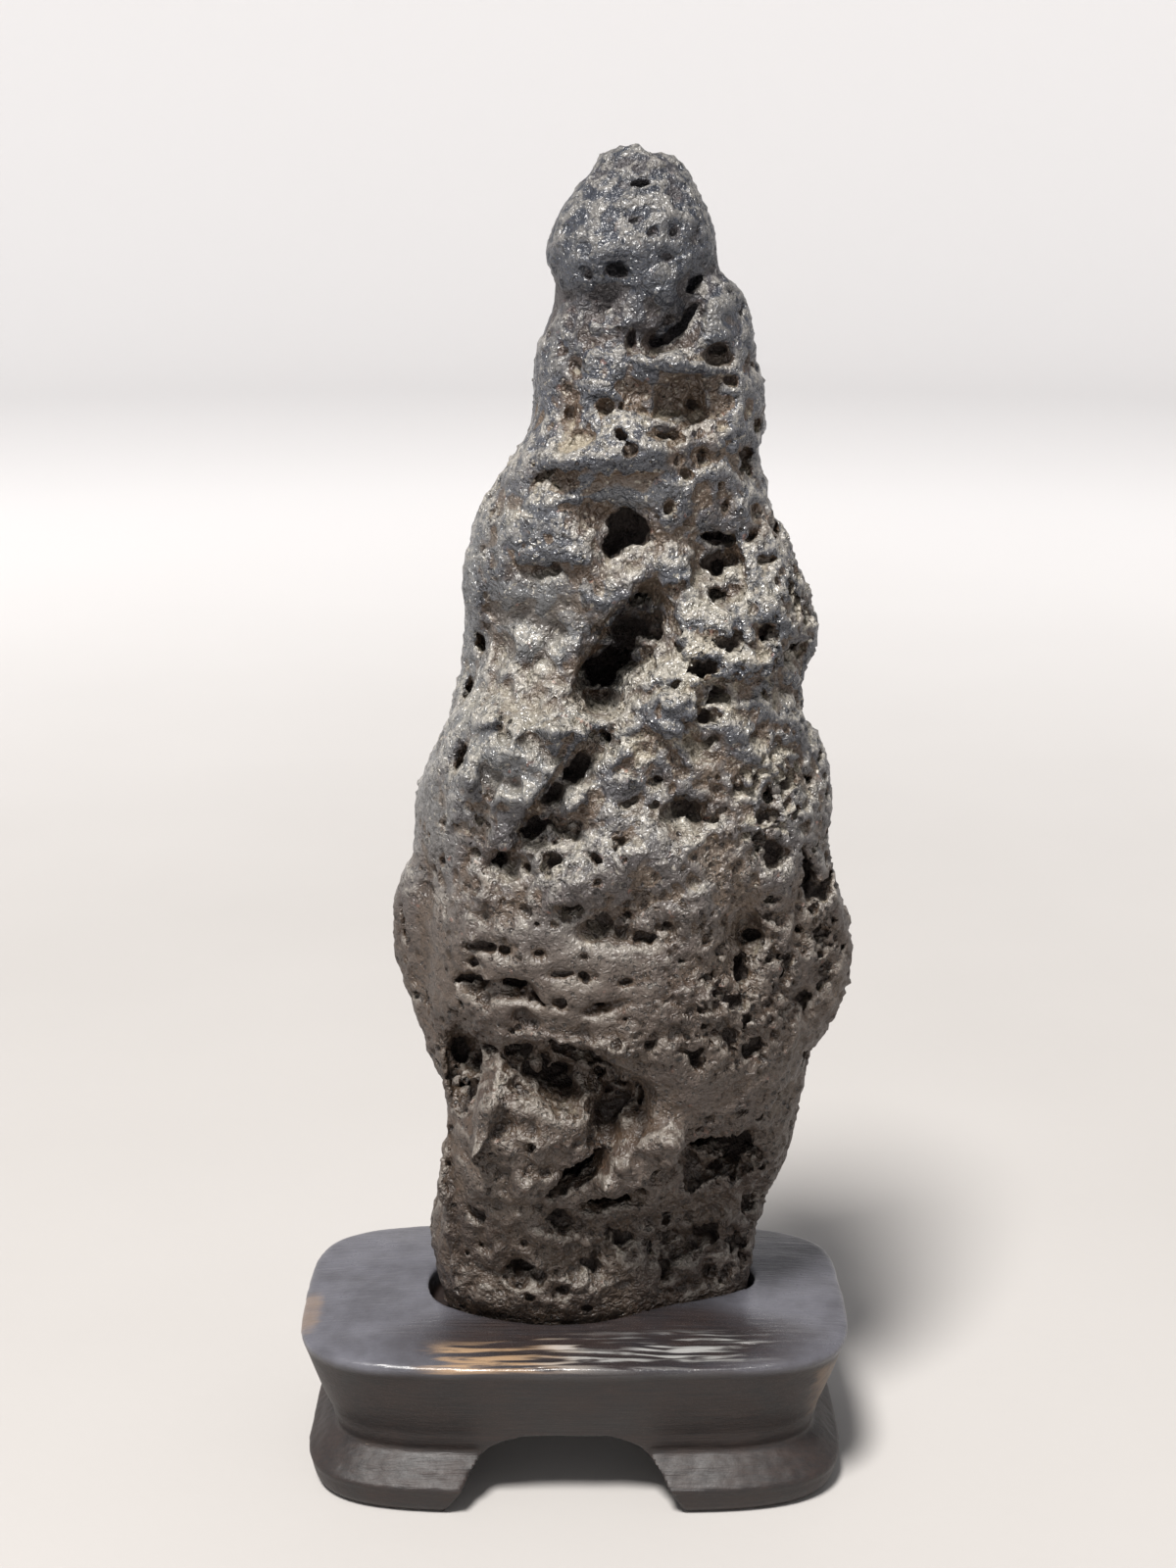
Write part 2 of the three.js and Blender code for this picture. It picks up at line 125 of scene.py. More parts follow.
# Caves and large pits on the front: x, height, width, tall, depth, lean in degrees.
FRONT_CAVES = (
    (5.4, 115.9, 1.5, 0.9, 1.0, 0),
    (8.5, 115.2, 0.5, 1.1, 0.6, 0),
    (5.0, 113.1, 1.1, 0.8, 0.55, 0),
    (6.5, 112.2, 1.1, 0.9, 0.6, 0),
    (8.2, 112.1, 1.1, 0.9, 0.6, 0),
    (7.7, 110.2, 1.2, 0.6, 0.5, 0),
    (3.6, 109.2, 1.9, 1.1, 1.9, -8),  # slit under the head
    (1.3, 108.8, 0.8, 0.6, 0.6, 0),
    (2.7, 106.3, 2.0, 0.5, 0.5, 8),
    (9.9, 108.1, 2.1, 1.0, 1.8, 48),  # black pit at the cleft's top
    (9.5, 105.4, 2.6, 0.9, 2.0, 58),
    (8.4, 104.1, 2.0, 0.9, 2.2, 35),
    (6.8, 103.4, 2.0, 1.0, 1.9, 8),
    (4.8, 103.7, 0.6, 1.7, 1.1, -8),
    (12.0, 102.7, 2.2, 0.8, 1.1, 4),
    (14.0, 105.7, 0.8, 0.6, 0.7, 0),
    (14.8, 101.4, 1.3, 0.6, 1.0, 0),
    (9.9, 98.2, 1.3, 0.8, 1.0, 0),
    (-0.3, 97.8, 1.0, 1.3, 0.8, 10),
    (2.7, 98.2, 1.2, 1.0, 0.8, 0),
    (0.3, 101.4, 1.1, 0.9, 0.6, 0),
    (7.6, 96.1, 2.2, 0.7, 1.0, 0),
    (10.7, 94.3, 1.0, 1.4, 0.9, 0),
    (9.3, 93.0, 0.9, 1.1, 0.7, 0),
    (14.4, 93.8, 1.9, 2.1, 1.4, 0),
    (15.6, 96.2, 1.4, 0.9, 1.2, 0),
    (-2.2, 92.8, 2.6, 0.8, 1.1, 38),  # groove
    (12.8, 90.3, 0.8, 1.3, 1.0, -10),
    (15.2, 89.7, 0.9, 0.5, 0.7, 20),
    (7.9, 90.4, 0.8, 0.6, 0.5, 0),
    (4.5, 88.3, 3.7, 3.3, 3.3, -20),  # round cave
    (3.3, 87.0, 1.9, 2.1, 3.2, 0),
    (12.0, 87.4, 3.6, 1.1, 2.8, -8),  # square cave: the black slit over it
    (11.9, 85.2, 3.4, 2.7, 0.9, 0),
    (12.2, 84.9, 1.2, 1.1, 2.2, 0),
    (15.0, 87.4, 1.3, 0.8, 1.3, 15),
    (17.3, 87.7, 0.8, 1.6, 1.5, 0),
    (15.9, 85.5, 0.9, 1.3, 0.9, 0),
    (-2.1, 85.0, 2.8, 1.1, 1.0, 0),
    (-4.7, 85.4, 0.7, 0.7, 0.6, 0),
    (-7.2, 81.1, 0.8, 0.5, 0.8, 0),
    (8.0, 83.6, 2.8, 0.35, 0.8, 12),
    (11.9, 82.7, 2.0, 0.9, 1.7, 10),
    (5.6, 82.0, 4.2, 1.2, 2.4, 42),  # gash: its top slit
    (4.6, 79.8, 3.8, 2.8, 2.4, 40),
    (7.1, 80.0, 2.4, 3.2, 1.5, 0),
    (2.5, 75.3, 4.9, 4.4, 3.6, -10),  # gash: its deep end
    (4.2, 77.4, 4.4, 3.2, 3.0, 45),
    (1.0, 76.0, 2.2, 1.6, 1.4, 0),
    (16.2, 80.0, 1.1, 1.1, 1.6, 0),
    (8.7, 78.9, 1.0, 0.9, 1.1, 0),
    (11.7, 75.0, 2.4, 1.5, 0.9, -10),
    (18.7, 77.6, 1.0, 1.6, 1.2, 20),
    (19.0, 81.4, 1.0, 2.6, 1.0, 0),
    (-7.9, 77.9, 1.3, 2.0, 1.9, -14),
    (-9.2, 73.6, 0.8, 2.4, 1.4, -8),
    (-6.0, 71.4, 1.9, 1.0, 1.4, -25),
    (-9.6, 69.0, 2.7, 1.2, 1.9, 62),
    (2.7, 71.4, 0.9, 1.4, 1.5, 20),
    (11.6, 71.3, 1.3, 1.0, 0.8, 0),
    (0.4, 68.8, 2.9, 1.8, 2.5, 48),  # crack
    (-1.6, 66.7, 2.6, 1.4, 1.9, 50),
    (-3.3, 63.5, 3.0, 1.7, 2.3, 32),
    (-0.6, 64.0, 3.2, 1.0, 1.1, -10),
    (-1.6, 61.4, 1.6, 0.9, 1.2, -35),
    (-8.2, 61.3, 1.5, 0.6, 0.9, 0),
    (-6.2, 60.4, 1.4, 1.5, 1.7, 10),
    (7.1, 68.0, 1.3, 0.8, 1.1, 0),
    (4.7, 66.2, 1.6, 0.8, 0.9, 58),
    (9.6, 65.2, 2.4, 1.8, 1.3, 0),
    (4.0, 63.3, 1.6, 0.5, 0.7, 0),
    (16.5, 66.0, 1.1, 1.3, 1.4, 0),
    (20.2, 66.5, 0.8, 1.1, 1.0, 0),
    (17.4, 60.8, 2.1, 2.1, 1.5, 0),
    (20.4, 58.0, 2.0, 4.4, 3.0, 18),  # deep oval hole
    (21.6, 52.4, 2.0, 1.6, 1.4, 0),
    (15.3, 53.1, 1.7, 1.2, 1.5, 0),
    (22.6, 49.0, 2.4, 0.7, 1.0, 15),
    (14.4, 50.6, 1.6, 2.8, 1.9, -8),
    (20.0, 46.7, 1.5, 1.5, 1.2, 0),
    (11.4, 50.9, 2.7, 0.4, 0.8, 14),
    (13.5, 45.0, 1.3, 1.5, 1.2, 0),
    (15.4, 43.6, 2.2, 1.8, 1.5, 0),
    (10.5, 43.2, 1.2, 2.0, 1.5, -12),
    (-0.3, 57.0, 1.4, 0.9, 1.3, -30),
    (2.1, 55.6, 2.2, 2.0, 1.4, 0),  # round hollow with a bright lower rim
    (4.6, 56.4, 1.0, 0.8, 0.8, 0),
    (4.2, 54.7, 1.1, 1.2, 0.6, 0),
    (6.2, 54.6, 2.0, 1.3, 0.6, 0),
    (7.8, 55.5, 1.1, 0.9, 1.3, 0),
    (-5.7, 53.2, 1.1, 0.9, 1.1, 0),
    (-2.9, 53.2, 0.9, 0.7, 1.0, 0),
    (-8.5, 51.5, 1.8, 1.1, 0.8, 0),
    (-5.0, 49.8, 2.8, 1.2, 1.6, 0),
    (-9.0, 49.3, 2.4, 0.8, 1.3, 4),
    (-3.2, 48.8, 2.0, 0.7, 1.2, -24),
    (-7.9, 48.0, 1.5, 1.1, 1.1, 0),
    (-0.9, 51.3, 2.0, 0.7, 0.8, 8),
    (0.9, 51.2, 1.2, 0.7, 1.0, -50),
    (4.5, 50.7, 1.5, 0.7, 0.8, 0),
    (2.8, 48.5, 3.6, 0.5, 1.0, 15),
    (6.4, 44.8, 0.8, 1.1, 1.1, -12),
    (-1.6, 44.4, 2.4, 0.7, 1.1, 4),
    (-7.4, 42.9, 1.8, 0.9, 1.2, -10),
    (-4.6, 43.0, 3.0, 2.0, 1.6, 20),  # wide cave
    (-3.2, 41.0, 3.4, 3.4, 1.9, -30),
    (-1.2, 39.4, 4.0, 1.9, 2.2, -14),
    (0.6, 42.2, 5.0, 1.2, 1.6, -16),
    (3.6, 40.6, 3.6, 1.2, 1.6, -38),
    (5.9, 38.8, 1.2, 3.0, 1.6, 0),
    (3.2, 37.4, 2.2, 4.4, 2.0, -36),
    (-10.2, 41.0, 2.0, 4.0, 1.6, 0),  # left recess
    (-9.9, 37.4, 1.7, 3.4, 1.3, -10),
    (18.4, 37.4, 1.1, 0.8, 0.8, 40),
    (0.3, 31.4, 4.2, 1.3, 2.6, 36),  # lower gashes
    (2.9, 27.8, 4.0, 1.3, 2.6, 8),
    (5.6, 29.2, 1.5, 0.8, 1.3, 24),
    (-8.8, 26.6, 2.0, 1.2, 1.3, -32),
    (-3.2, 28.6, 1.1, 1.1, 0.9, 0),
    (-1.4, 26.5, 3.4, 1.5, 1.9, -36),
    (-2.5, 32.3, 0.8, 0.7, 0.8, 0),
    (-8.3, 23.0, 0.5, 1.2, 0.8, -8),
    (12.2, 32.6, 4.6, 2.0, 2.4, 8),  # right cave
    (14.6, 32.2, 4.0, 3.0, 2.6, 12),
    (13.0, 29.8, 5.2, 1.7, 2.2, 6),
    (12.0, 21.6, 2.5, 2.0, 2.0, 0),
    (8.8, 22.0, 1.9, 2.2, 1.6, 20),
    (8.4, 19.2, 1.6, 1.8, 1.3, 0),
    (15.0, 20.6, 1.0, 1.4, 1.1, 0),
    (4.3, 23.2, 1.9, 1.5, 1.2, 20),
    (1.5, 21.3, 1.9, 1.3, 1.0, 10),
    (-4.8, 20.8, 3.0, 1.7, 1.8, 4),
    (-1.1, 18.9, 1.4, 0.8, 1.2, 0),
    (-0.2, 20.9, 0.8, 0.6, 0.7, 0),
    (12.4, 18.0, 1.0, 1.6, 1.1, 0),
)

# Caves on the faces that the front doesn't show: direction, across, height, width, tall, depth, lean.
OTHER_CAVES = (
    (LEFT, -4.0, 55.8, 1.2, 0.8, 1.3, 0),
    (LEFT, -4.2, 58.0, 1.1, 0.8, 0.9, 0),
    (LEFT, -6.6, 56.0, 0.7, 4.0, 1.0, 8),  # crack between the front and the left lobe
    (LEFT, -1.0, 51.8, 1.2, 4.0, 0.8, 6),
    (LEFT, 3.4, 66.0, 2.6, 1.6, 1.9, 20),
    (LEFT, 1.0, 84.0, 1.8, 3.0, 1.6, -12),
    (LEFT, 2.0, 36.0, 3.4, 2.2, 2.4, 0),
    (LEFT, -1.5, 26.0, 1.8, 1.2, 1.3, 10),
    (LEFT, -1.0, 98.0, 1.7, 1.2, 1.2, 0),
    (LEFT, 4.5, 46.0, 2.4, 3.4, 1.8, 30),
    (RIGHT, 2.0, 58.0, 2.6, 4.6, 2.4, 20),
    (RIGHT, -1.6, 71.6, 3.2, 1.2, 1.8, 8),
    (RIGHT, 3.4, 83.0, 1.8, 2.8, 1.7, -16),
    (RIGHT, 0.0, 94.0, 1.6, 1.2, 1.2, 0),
    (RIGHT, -2.0, 40.0, 3.0, 2.0, 1.9, 0),
    (RIGHT, 4.0, 33.0, 1.8, 3.6, 2.0, 14),
    (RIGHT, 1.0, 24.0, 2.4, 1.6, 1.5, 0),
    (RIGHT, 5.0, 66.0, 1.4, 1.1, 1.1, 0),
    (BACK, 5.0, 108.0, 2.4, 1.0, 1.7, 22),
    (BACK, 7.6, 100.0, 1.6, 1.2, 1.1, 0),
    (BACK, 1.6, 87.4, 2.8, 3.2, 2.8, 24),
    (BACK, 4.0, 84.6, 1.8, 2.4, 2.0, 0),
    (BACK, 11.0, 76.4, 5.4, 1.7, 2.6, -22),
    (BACK, 12.6, 90.0, 1.6, 2.0, 1.4, 0),
    (BACK, -3.0, 78.0, 1.8, 1.2, 1.2, 10),
    (BACK, 1.0, 56.6, 1.6, 4.4, 2.0, 26),
    (BACK, 3.0, 51.6, 2.2, 4.8, 2.6, 26),
    (BACK, -7.4, 44.4, 4.2, 2.8, 2.6, 0),
    (BACK, -4.6, 42.4, 2.2, 1.8, 2.2, 0),
    (BACK, 13.0, 46.0, 2.2, 1.6, 1.5, 0),
    (BACK, 8.0, 35.0, 5.6, 1.9, 2.8, -12),
    (BACK, 3.6, 33.0, 2.4, 1.5, 2.0, 0),
    (BACK, -6.0, 28.0, 1.6, 1.2, 1.2, 0),
    (BACK, 10.0, 23.0, 2.2, 1.8, 1.7, 0),
    (BACK, 15.4, 60.6, 2.0, 3.0, 1.8, 0),
    (BACK, -5.6, 64.0, 1.8, 1.3, 1.3, 0),
)

CAVES = [(FRONT, *entry) for entry in FRONT_CAVES] + list(OTHER_CAVES)

# Where the front is crusted with small round lumps: x, height, width, tall.
CRUSTS = (
    (12.5, 77.0, 12.0, 8.0),
    (8.0, 71.5, 10.0, 6.0),
    (16.5, 66.0, 8.0, 12.0),
    (19.0, 80.0, 4.0, 9.0),
    (16.0, 48.0, 12.0, 9.0),
    (14.0, 96.0, 4.0, 7.0),
    (-3.0, 61.0, 5.0, 3.0),
    (4.0, 23.0, 12.0, 8.0),
)

# Where it is worn smooth, with few pores.
SMOOTH_PLACES = (
    (4.0, 112.0, 12.0, 10.0),
    (-3.0, 81.0, 9.0, 9.0),
    (5.0, 91.5, 9.0, 3.0),
    (-5.0, 69.0, 8.0, 6.0),
    (12.0, 105.0, 4.0, 5.0),
    (4.0, 34.0, 9.0, 5.0),
    (9.0, 39.0, 11.0, 7.0),
    (-1.0, 51.0, 19.0, 13.0),
    (-12.5, 50.0, 5.0, 18.0),
)

# Lumps left standing inside caves or on their rims: x, height, width, tall, thickness, lean, how far sunk.
LUMPS = (
    (5.3, 86.6, 2.0, 1.5, 1.8, 0, 1.2),  # the ball in the round cave
    (0.6, 41.3, 6.0, 0.9, 1.4, -24, 1.5),  # two ribs across the wide cave
    (2.6, 39.6, 4.6, 0.8, 1.3, -30, 1.6),
    (-4.6, 41.6, 1.2, 1.4, 1.2, 10, 1.2),
    (6.9, 78.7, 0.9, 0.9, 1.0, 0, 0.5),  # small balls down the gash's right rim
    (6.0, 77.8, 1.1, 1.1, 1.2, 0, 0.6),
    (6.4, 76.7, 1.0, 1.0, 1.2, 0, 0.5),
    (6.2, 75.6, 1.2, 1.1, 1.2, 0, 0.6),
    (5.5, 74.6, 1.0, 1.0, 1.0, 0, 0.5),
    (4.6, 73.9, 1.0, 0.8, 1.0, 0, 0.4),
    (12.9, 31.0, 4.0, 0.7, 1.0, 8, 1.2),  # shelf in the right cave
    (12.6, 85.6, 1.4, 1.2, 1.2, 0, 1.6),
)


# ---- Settings ----


def length(name, description, default, low=0.0):
    """A size in millimetres that a user may change."""
    return FloatProperty(name=name, description=description, default=default, min=low, precision=3)


def colour(name, description, default):
    return FloatVectorProperty(
        name=name, description=description, default=default, subtype="COLOR", size=3, min=0, max=1
    )


class StoneSettings(bpy.types.PropertyGroup):
    rough_voxel: length("Rough voxel", "Mesh size while the broad forms are shaped, in mm", 0.35, 0.2)
    fine_voxel: length("Fine voxel", "Mesh size of the carved surface, in mm", 0.2, 0.15)
    triangles: IntProperty(
        name="Triangles", description="Triangles in the finished stone", default=194000, min=20000
    )
    pores: IntProperty(
        name="Pores", description="Gas bubbles cut open by the surface", default=900, min=0
    )
    pinholes: IntProperty(name="Pinholes", description="Smaller dimples", default=3400, min=0)
    seed: IntProperty(
        name="Seed", description="Picks the places of pores and the bubbles' lumps", default=7, min=1
    )
    slate: colour("Slate", "Worn ridges", (0.046, 0.050, 0.062))
    earth: colour("Earth", "The stone's body", (0.092, 0.062, 0.039))
    umber: colour("Umber", "Its browner parts", (0.060, 0.034, 0.018))
    buff: colour("Buff", "Dust on the upper sides", (0.40, 0.355, 0.265))
    rust: colour("Rust", "Iron stain in the caves", (0.12, 0.052, 0.024))
    # Painted shade: near black in the caves' depths and in the pores.
    pit_shade: colour("Pit shade", "The depths of the caves", (0.010, 0.007, 0.006))
    # Painted sheen on the smooth faces of the middle.
    silver_sheen: colour("Silver sheen", "Smooth faces of the middle", (0.165, 0.168, 0.165))
    # Painted highlight on lips and crests that face up.
    lip_highlight: colour("Lip highlight", "Lips and crests that face up", (0.40, 0.375, 0.33))
    # Partly real mineral grains, partly painted glints.
    pale_grain_and_glint: colour("Pale grain and glint", "Small mineral grains", (0.50, 0.46, 0.38))
    pink_grain: colour("Pink grain", "Fewer and larger grains", (0.30, 0.14, 0.10))
    dark_grain: colour("Dark grain", "Fine grain all over", (0.022, 0.019, 0.018))
    # Painted shade in the hollows, dark brown.
    hollow_shade: colour("Hollow shade", "Low places between the ridges", (0.018, 0.010, 0.006))
    foot_shade: colour("Foot shade", "Shade toward the foot", (0.019, 0.010, 0.005))
    head_blue: colour("Head blue", "The smooth blue-black head", (0.020, 0.024, 0.034))


class StandSettings(bpy.types.PropertyGroup):
    voxel: length("Voxel", "Mesh size of the carved wood, in mm", 0.26, 0.15)
    triangles: IntProperty(
        name="Triangles", description="Triangles in the finished stand", default=150000, min=20000
    )
    stain: colour("Stain", "Black stain over the wood", (0.010, 0.008, 0.008))
    brown: colour("Brown", "Where the stain is thin", (0.034, 0.019, 0.014))
    # Painted reflection of the pale surroundings on the waxed top.
    top_reflection: colour("Top reflection", "The top, bluish under its wax", (0.105, 0.105, 0.122))
    bare: colour("Bare wood", "Wood that shows where the stain is worn off", (0.30, 0.20, 0.12))
    scraped: colour("Painted glints", "Pale streaks in the scraped top", (0.34, 0.34, 0.33))
    # Painted glints: pale streaks on the scraped top.
    scratch: colour("Scratch", "Light scratches on the front", (0.22, 0.17, 0.13))


class StageSettings(bpy.types.PropertyGroup):
    lens: FloatProperty(
        name="Lens", description="Focal length on a 36 mm sensor", default=51.75, unit="CAMERA"
    )
    distance: FloatProperty(
        name="Distance", description="From the stand's middle", default=0.1924, unit="LENGTH"
    )
    height: FloatProperty(
        name="Height", description="Of the camera over the floor", default=0.1166, unit="LENGTH"
    )
    aside: FloatProperty(
        name="Aside", description="Of the camera, to the right", default=0.00127, unit="LENGTH"
    )
    pitch: FloatProperty(
        name="Pitch",
        description="How far the camera looks down",
        default=math.radians(15.1),
        subtype="ANGLE",
    )
    floor: colour("Floor", "Plain pale floor", (0.40, 0.385, 0.37))
    sweep: colour("Sweep", "The floor farther off, where it sweeps up", (0.80, 0.79, 0.79))
    key: FloatProperty(name="Key light", description="Overhead soft box", default=42, unit="POWER")
    sky: FloatProperty(name="Surroundings", description="Strength of the pale surroundings", default=0.37)


# ---- Mesh helpers, in millimetres ----


def smoothstep(values, low, high):
    """0 below low and 1 above high, with a soft rise between them."""
    share = np.clip((values - low) / (high - low), 0, 1)
    return share * share * (3 - 2 * share)


def node_copy(node, name):
    """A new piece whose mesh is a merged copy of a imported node's, in millimetres."""
    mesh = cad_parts[node].data.copy()
    mesh.name = name
    mesh.materials.clear()
    work = bmesh.new()
    work.from_mesh(mesh)
    bmesh.ops.remove_doubles(work, verts=work.verts, dist=1e-6)
    bmesh.ops.scale(work, vec=(1 / MM,) * 3, verts=work.verts)
    work.to_mesh(mesh)
    work.free()
    piece = bpy.data.objects.new(name, mesh)
    bpy.context.scene.collection.objects.link(piece)
    return piece


def modified(piece, kind, **settings):
    """Applies one modifier to a piece's mesh."""
    modifier = piece.modifiers.new(kind, kind)
    for name, value in settings.items():
        setattr(modifier, name, value)
    shown = piece.evaluated_get(bpy.context.evaluated_depsgraph_get())
    mesh = bpy.data.meshes.new_from_object(shown)
    piece.modifiers.clear()
    spare = piece.data
    piece.data = mesh
    mesh.name = spare.name
    bpy.data.meshes.remove(spare)


def voxelled(piece, size):
    modified(piece, "REMESH", mode="VOXEL", voxel_size=size, adaptivity=0)


def thinned(piece, triangles):
    """Brings a piece's mesh under a number of triangles, and leaves the most where it bends most."""
    count = sum(len(face.vertices) - 2 for face in piece.data.polygons)
    if count > triangles:
        modified(piece, "DECIMATE", decimate_type="COLLAPSE", ratio=triangles / count)


def drop_crumbs(piece):
    """Keeps only the largest connected shell of a piece."""
    work = bmesh.new()
    work.from_mesh(piece.data)
    unseen = set(work.verts)
    shells = []
    while unseen:
        shell = [unseen.pop()]
        for vert in shell:
            for edge in vert.link_edges:
                other = edge.other_vert(vert)
                if other in unseen:
                    unseen.remove(other)
                    shell.append(other)
        shells.append(shell)
    shells.sort(key=len)
    crumbs = [vert for shell in shells[:-1] for vert in shell]
    bmesh.ops.delete(work, geom=crumbs, context="VERTS")
    work.to_mesh(piece.data)
    work.free()


class Surface:
    """A piece's vertices as arrays, to be moved together."""

    def __init__(self, piece):
        self.mesh = piece.data
        self.points = self.read("co")
        self.normals = self.read("normal")
        edges = np.empty(len(self.mesh.edges) * 2, np.int32)
        self.mesh.edges.foreach_get("vertices", edges)
        self.edges = edges.reshape(-1, 2)
        self.valence = np.bincount(self.edges.ravel(), minlength=len(self.points))

    def read(self, name):
        values = np.empty(len(self.mesh.vertices) * 3, np.float32)
        self.mesh.vertices.foreach_get(name, values)
        return values.reshape(-1, 3).astype(float)

    def write(self):
        self.mesh.vertices.foreach_set("co", self.points.astype(np.float32).ravel())
        self.mesh.update()
        self.normals = self.read("normal")

    def averaged(self, values, rounds):
        """Values spread over their neighbours, round after round."""
        a, b = self.edges.T
        for _ in range(rounds):
            total = np.bincount(a, values[b], len(values)) + np.bincount(b, values[a], len(values))
            values = (values + total / self.valence) / 2
        return values

    def relaxed(self, rounds):
        return np.stack([self.averaged(column, rounds) for column in self.points.T], 1)

    def relax(self, rounds):
        self.points = self.relaxed(rounds)
        self.write()

    def lift(self, distance):
        """Moves each vertex along its normal."""
        self.points += self.normals * distance[:, None]
        self.write()

    def tree(self):
        """For finding the nearest place on the surface, or where a line meets it."""
        faces = [tuple(face.vertices) for face in self.mesh.polygons]
        return BVHTree.FromPolygons(self.points.tolist(), faces)

    def store(self, name, values):
        """Keeps a value at each vertex, for the finish to read."""
        attribute = self.mesh.attributes.new(name, "FLOAT", "POINT")
        attribute.data.foreach_set("value", values.astype(np.float32))


def wavy(points, wavelength, octaves, shift=0.0, stretch=(1, 1, 1)):
    """Fractal noise at each point, about -1 to 1. Stretch lengthens it along an axis."""
    scaled = points / (wavelength * np.array(stretch)) + shift
    return np.array([noise.fractal(p, 0.9, 2.1, octaves) for p in scaled.tolist()])


def cells(points, size, shift=0.0, stretch=(1, 1, 1)):
    """Distance to the nearest of scattered seeds, in cell sizes."""
    scaled = points / (size * np.array(stretch)) + shift
    return np.array([noise.voronoi(p)[0][0] for p in scaled.tolist()])


def ellipse_reach(across, along, ellipse):
    """How far points lie from an ellipse's middle: 1 is on its outline."""
    middle_across, middle_along, width, tall = ellipse
    return np.hypot((across - middle_across) / (width / 2), (along - middle_along) / (tall / 2))


def front_patch(surface, ellipse):
    """1 in the middle of an ellipse on the front, falling to 0 at its edge."""
    x, _, z = surface.points.T
    return smoothstep(-ellipse_reach(x, z, ellipse), -1.15, -0.55) * (surface.normals[:, 1] < 0.1)


# ---- The stone ----


def touch(tree, direction, across, height):
    """Where a line from outside meets the surface, with the surface's normal there."""
    out = Vector(direction)
    start = Vector((across, 0, height)) if out.y else Vector((0, across, height))
    place, normal, _, _ = tree.ray_cast(start + out * 80, -out)
    if place is None:
        raise RuntimeError(f"no surface at {across}, {height} from {direction}")
    return place, normal


def tangent_frame(direction, normal, lean):
    """Axes along the surface, turned by lean as seen from the direction, and out of it."""
    out = (Vector(direction) * 0.45 + normal * 0.55).normalized()
    right = Vector((0, 0, 1)).cross(out).normalized()
    up = out.cross(right)
    turn = math.radians(lean)
    along = right * math.cos(turn) + up * math.sin(turn)
    return along, out.cross(along), out


def broad_relief(surface, tree):
    """Lifts and sinks the broad forms of the front."""
    moved = np.zeros_like(surface.points)
    broken = 0.8 + 1.1 * wavy(surface.points, 2.6, 2, 31.4)
    for x, height, width, tall, lift, lean, power in FRONT_RELIEF:
        place, normal = touch(tree, FRONT, x, height)
        along, across, out = tangent_frame(FRONT, normal, lean)
        offset = surface.points - np.array(place)
        u = np.abs(offset @ np.array(along)) / (width / 2)
        v = np.abs(offset @ np.array(across)) / (tall / 2)
        near = np.abs(offset @ np.array(out)) < 5
        reach = (u**power + v**power) ** (1 / power)
        edge = (0.75, 1.1) if power > SQUARED else (0.45, 1.25)
        share = 1 - smoothstep(reach, *edge)
        moved += np.outer(LIFT_UNIT * lift * share * near * broken, np.array(out))
    surface.points += moved
    surface.write()


def cave_funnels(surface, tree):
    """How far the surface sinks softly round each cave, so that its mouth is wide."""
    sunk = np.zeros(len(surface.points))
    for direction, across, height, width, tall, depth, lean in CAVES:
        place, normal = touch(tree, direction, across, height)
        along, upward, _ = tangent_frame(direction, normal, lean)
        offset = surface.points - np.array(place)
        near = (offset**2).sum(1) < (max(width, tall) * 1.4 + 1) ** 2
        offset = offset[near]
        u = offset @ np.array(along) / (width / 2 + 0.35)
        v = offset @ np.array(upward) / (tall / 2 + 0.35)
        share = 1 - smoothstep(np.hypot(u, v), 0.5, 1.8)
        sunk[near] = np.minimum(sunk[near], -0.38 * math.sqrt(depth) * share)
    return sunk


def slanted(points):
    """Points turned so that the lava's flow lies level."""
    cos, sin = math.cos(FLOW_SLANT), math.sin(FLOW_SLANT)
    x, y, z = points.T
    return np.stack([x * cos + z * sin, y, z * cos - x * sin], 1)


def flow_relief(surface):
    """Lava's own unevenness: ridges worn down to a level, with rough hollows between them."""
    points = slanted(surface.points)
    bands = wavy(points, 6.0, 3, 3.7, stretch=(1.2, 1.1, 1))
    folds = 0.42 - np.abs(wavy(points, 3.3, 3, 17.3, stretch=(1.05, 1, 1))) * 1.7
    lumps = 0.42 - np.abs(wavy(points, 1.6, 2, 11.2)) * 1.7
    height = 1.15 * bands + 0.4 * folds + 0.18 * lumps
    worn_level = 0.22
    return np.where(height > worn_level, worn_level + (height - worn_level) * 0.25, height)


def crust_share(surface):
    """Where the stone is crusted: the places named on its front, and patches of its back."""
    points, normals = surface.points, surface.normals
    share = np.zeros(len(points))
    for ellipse in CRUSTS:
        share = np.maximum(share, front_patch(surface, ellipse))
    behind = smoothstep(wavy(points, 11, 2, 5.1), 0.12, 0.4) * smoothstep(normals[:, 1], -0.2, 0.3)
    patches = smoothstep(wavy(points, 3.0, 2, 8.8), -0.35, 0.15)
    return np.maximum(share, behind) * patches


def smooth_share(surface):
    """Where the stone is worn smooth: the places named on its front, and most of its flanks."""
    x, _, z = surface.points.T
    left = 0.8 * smoothstep(-surface.normals[:, 0], 0.45, 0.8) * (x < 4)
    broken = smoothstep(z, 64, 70) * (1 - smoothstep(z, 86, 92))
    right = 0.55 * smoothstep(surface.normals[:, 0], 0.5, 0.85) * (x > 4) * (1 - broken)
    share = np.maximum(left, right)
    for ellipse in SMOOTH_PLACES:
        share = np.maximum(share, front_patch(surface, ellipse))
    return share


def foot_share(points):
    """Less in the seat, where the stone keeps close to its plain outline, and 1 above it."""
    return 0.35 + 0.65 * smoothstep(points[:, 2], 16.2, 17.6)


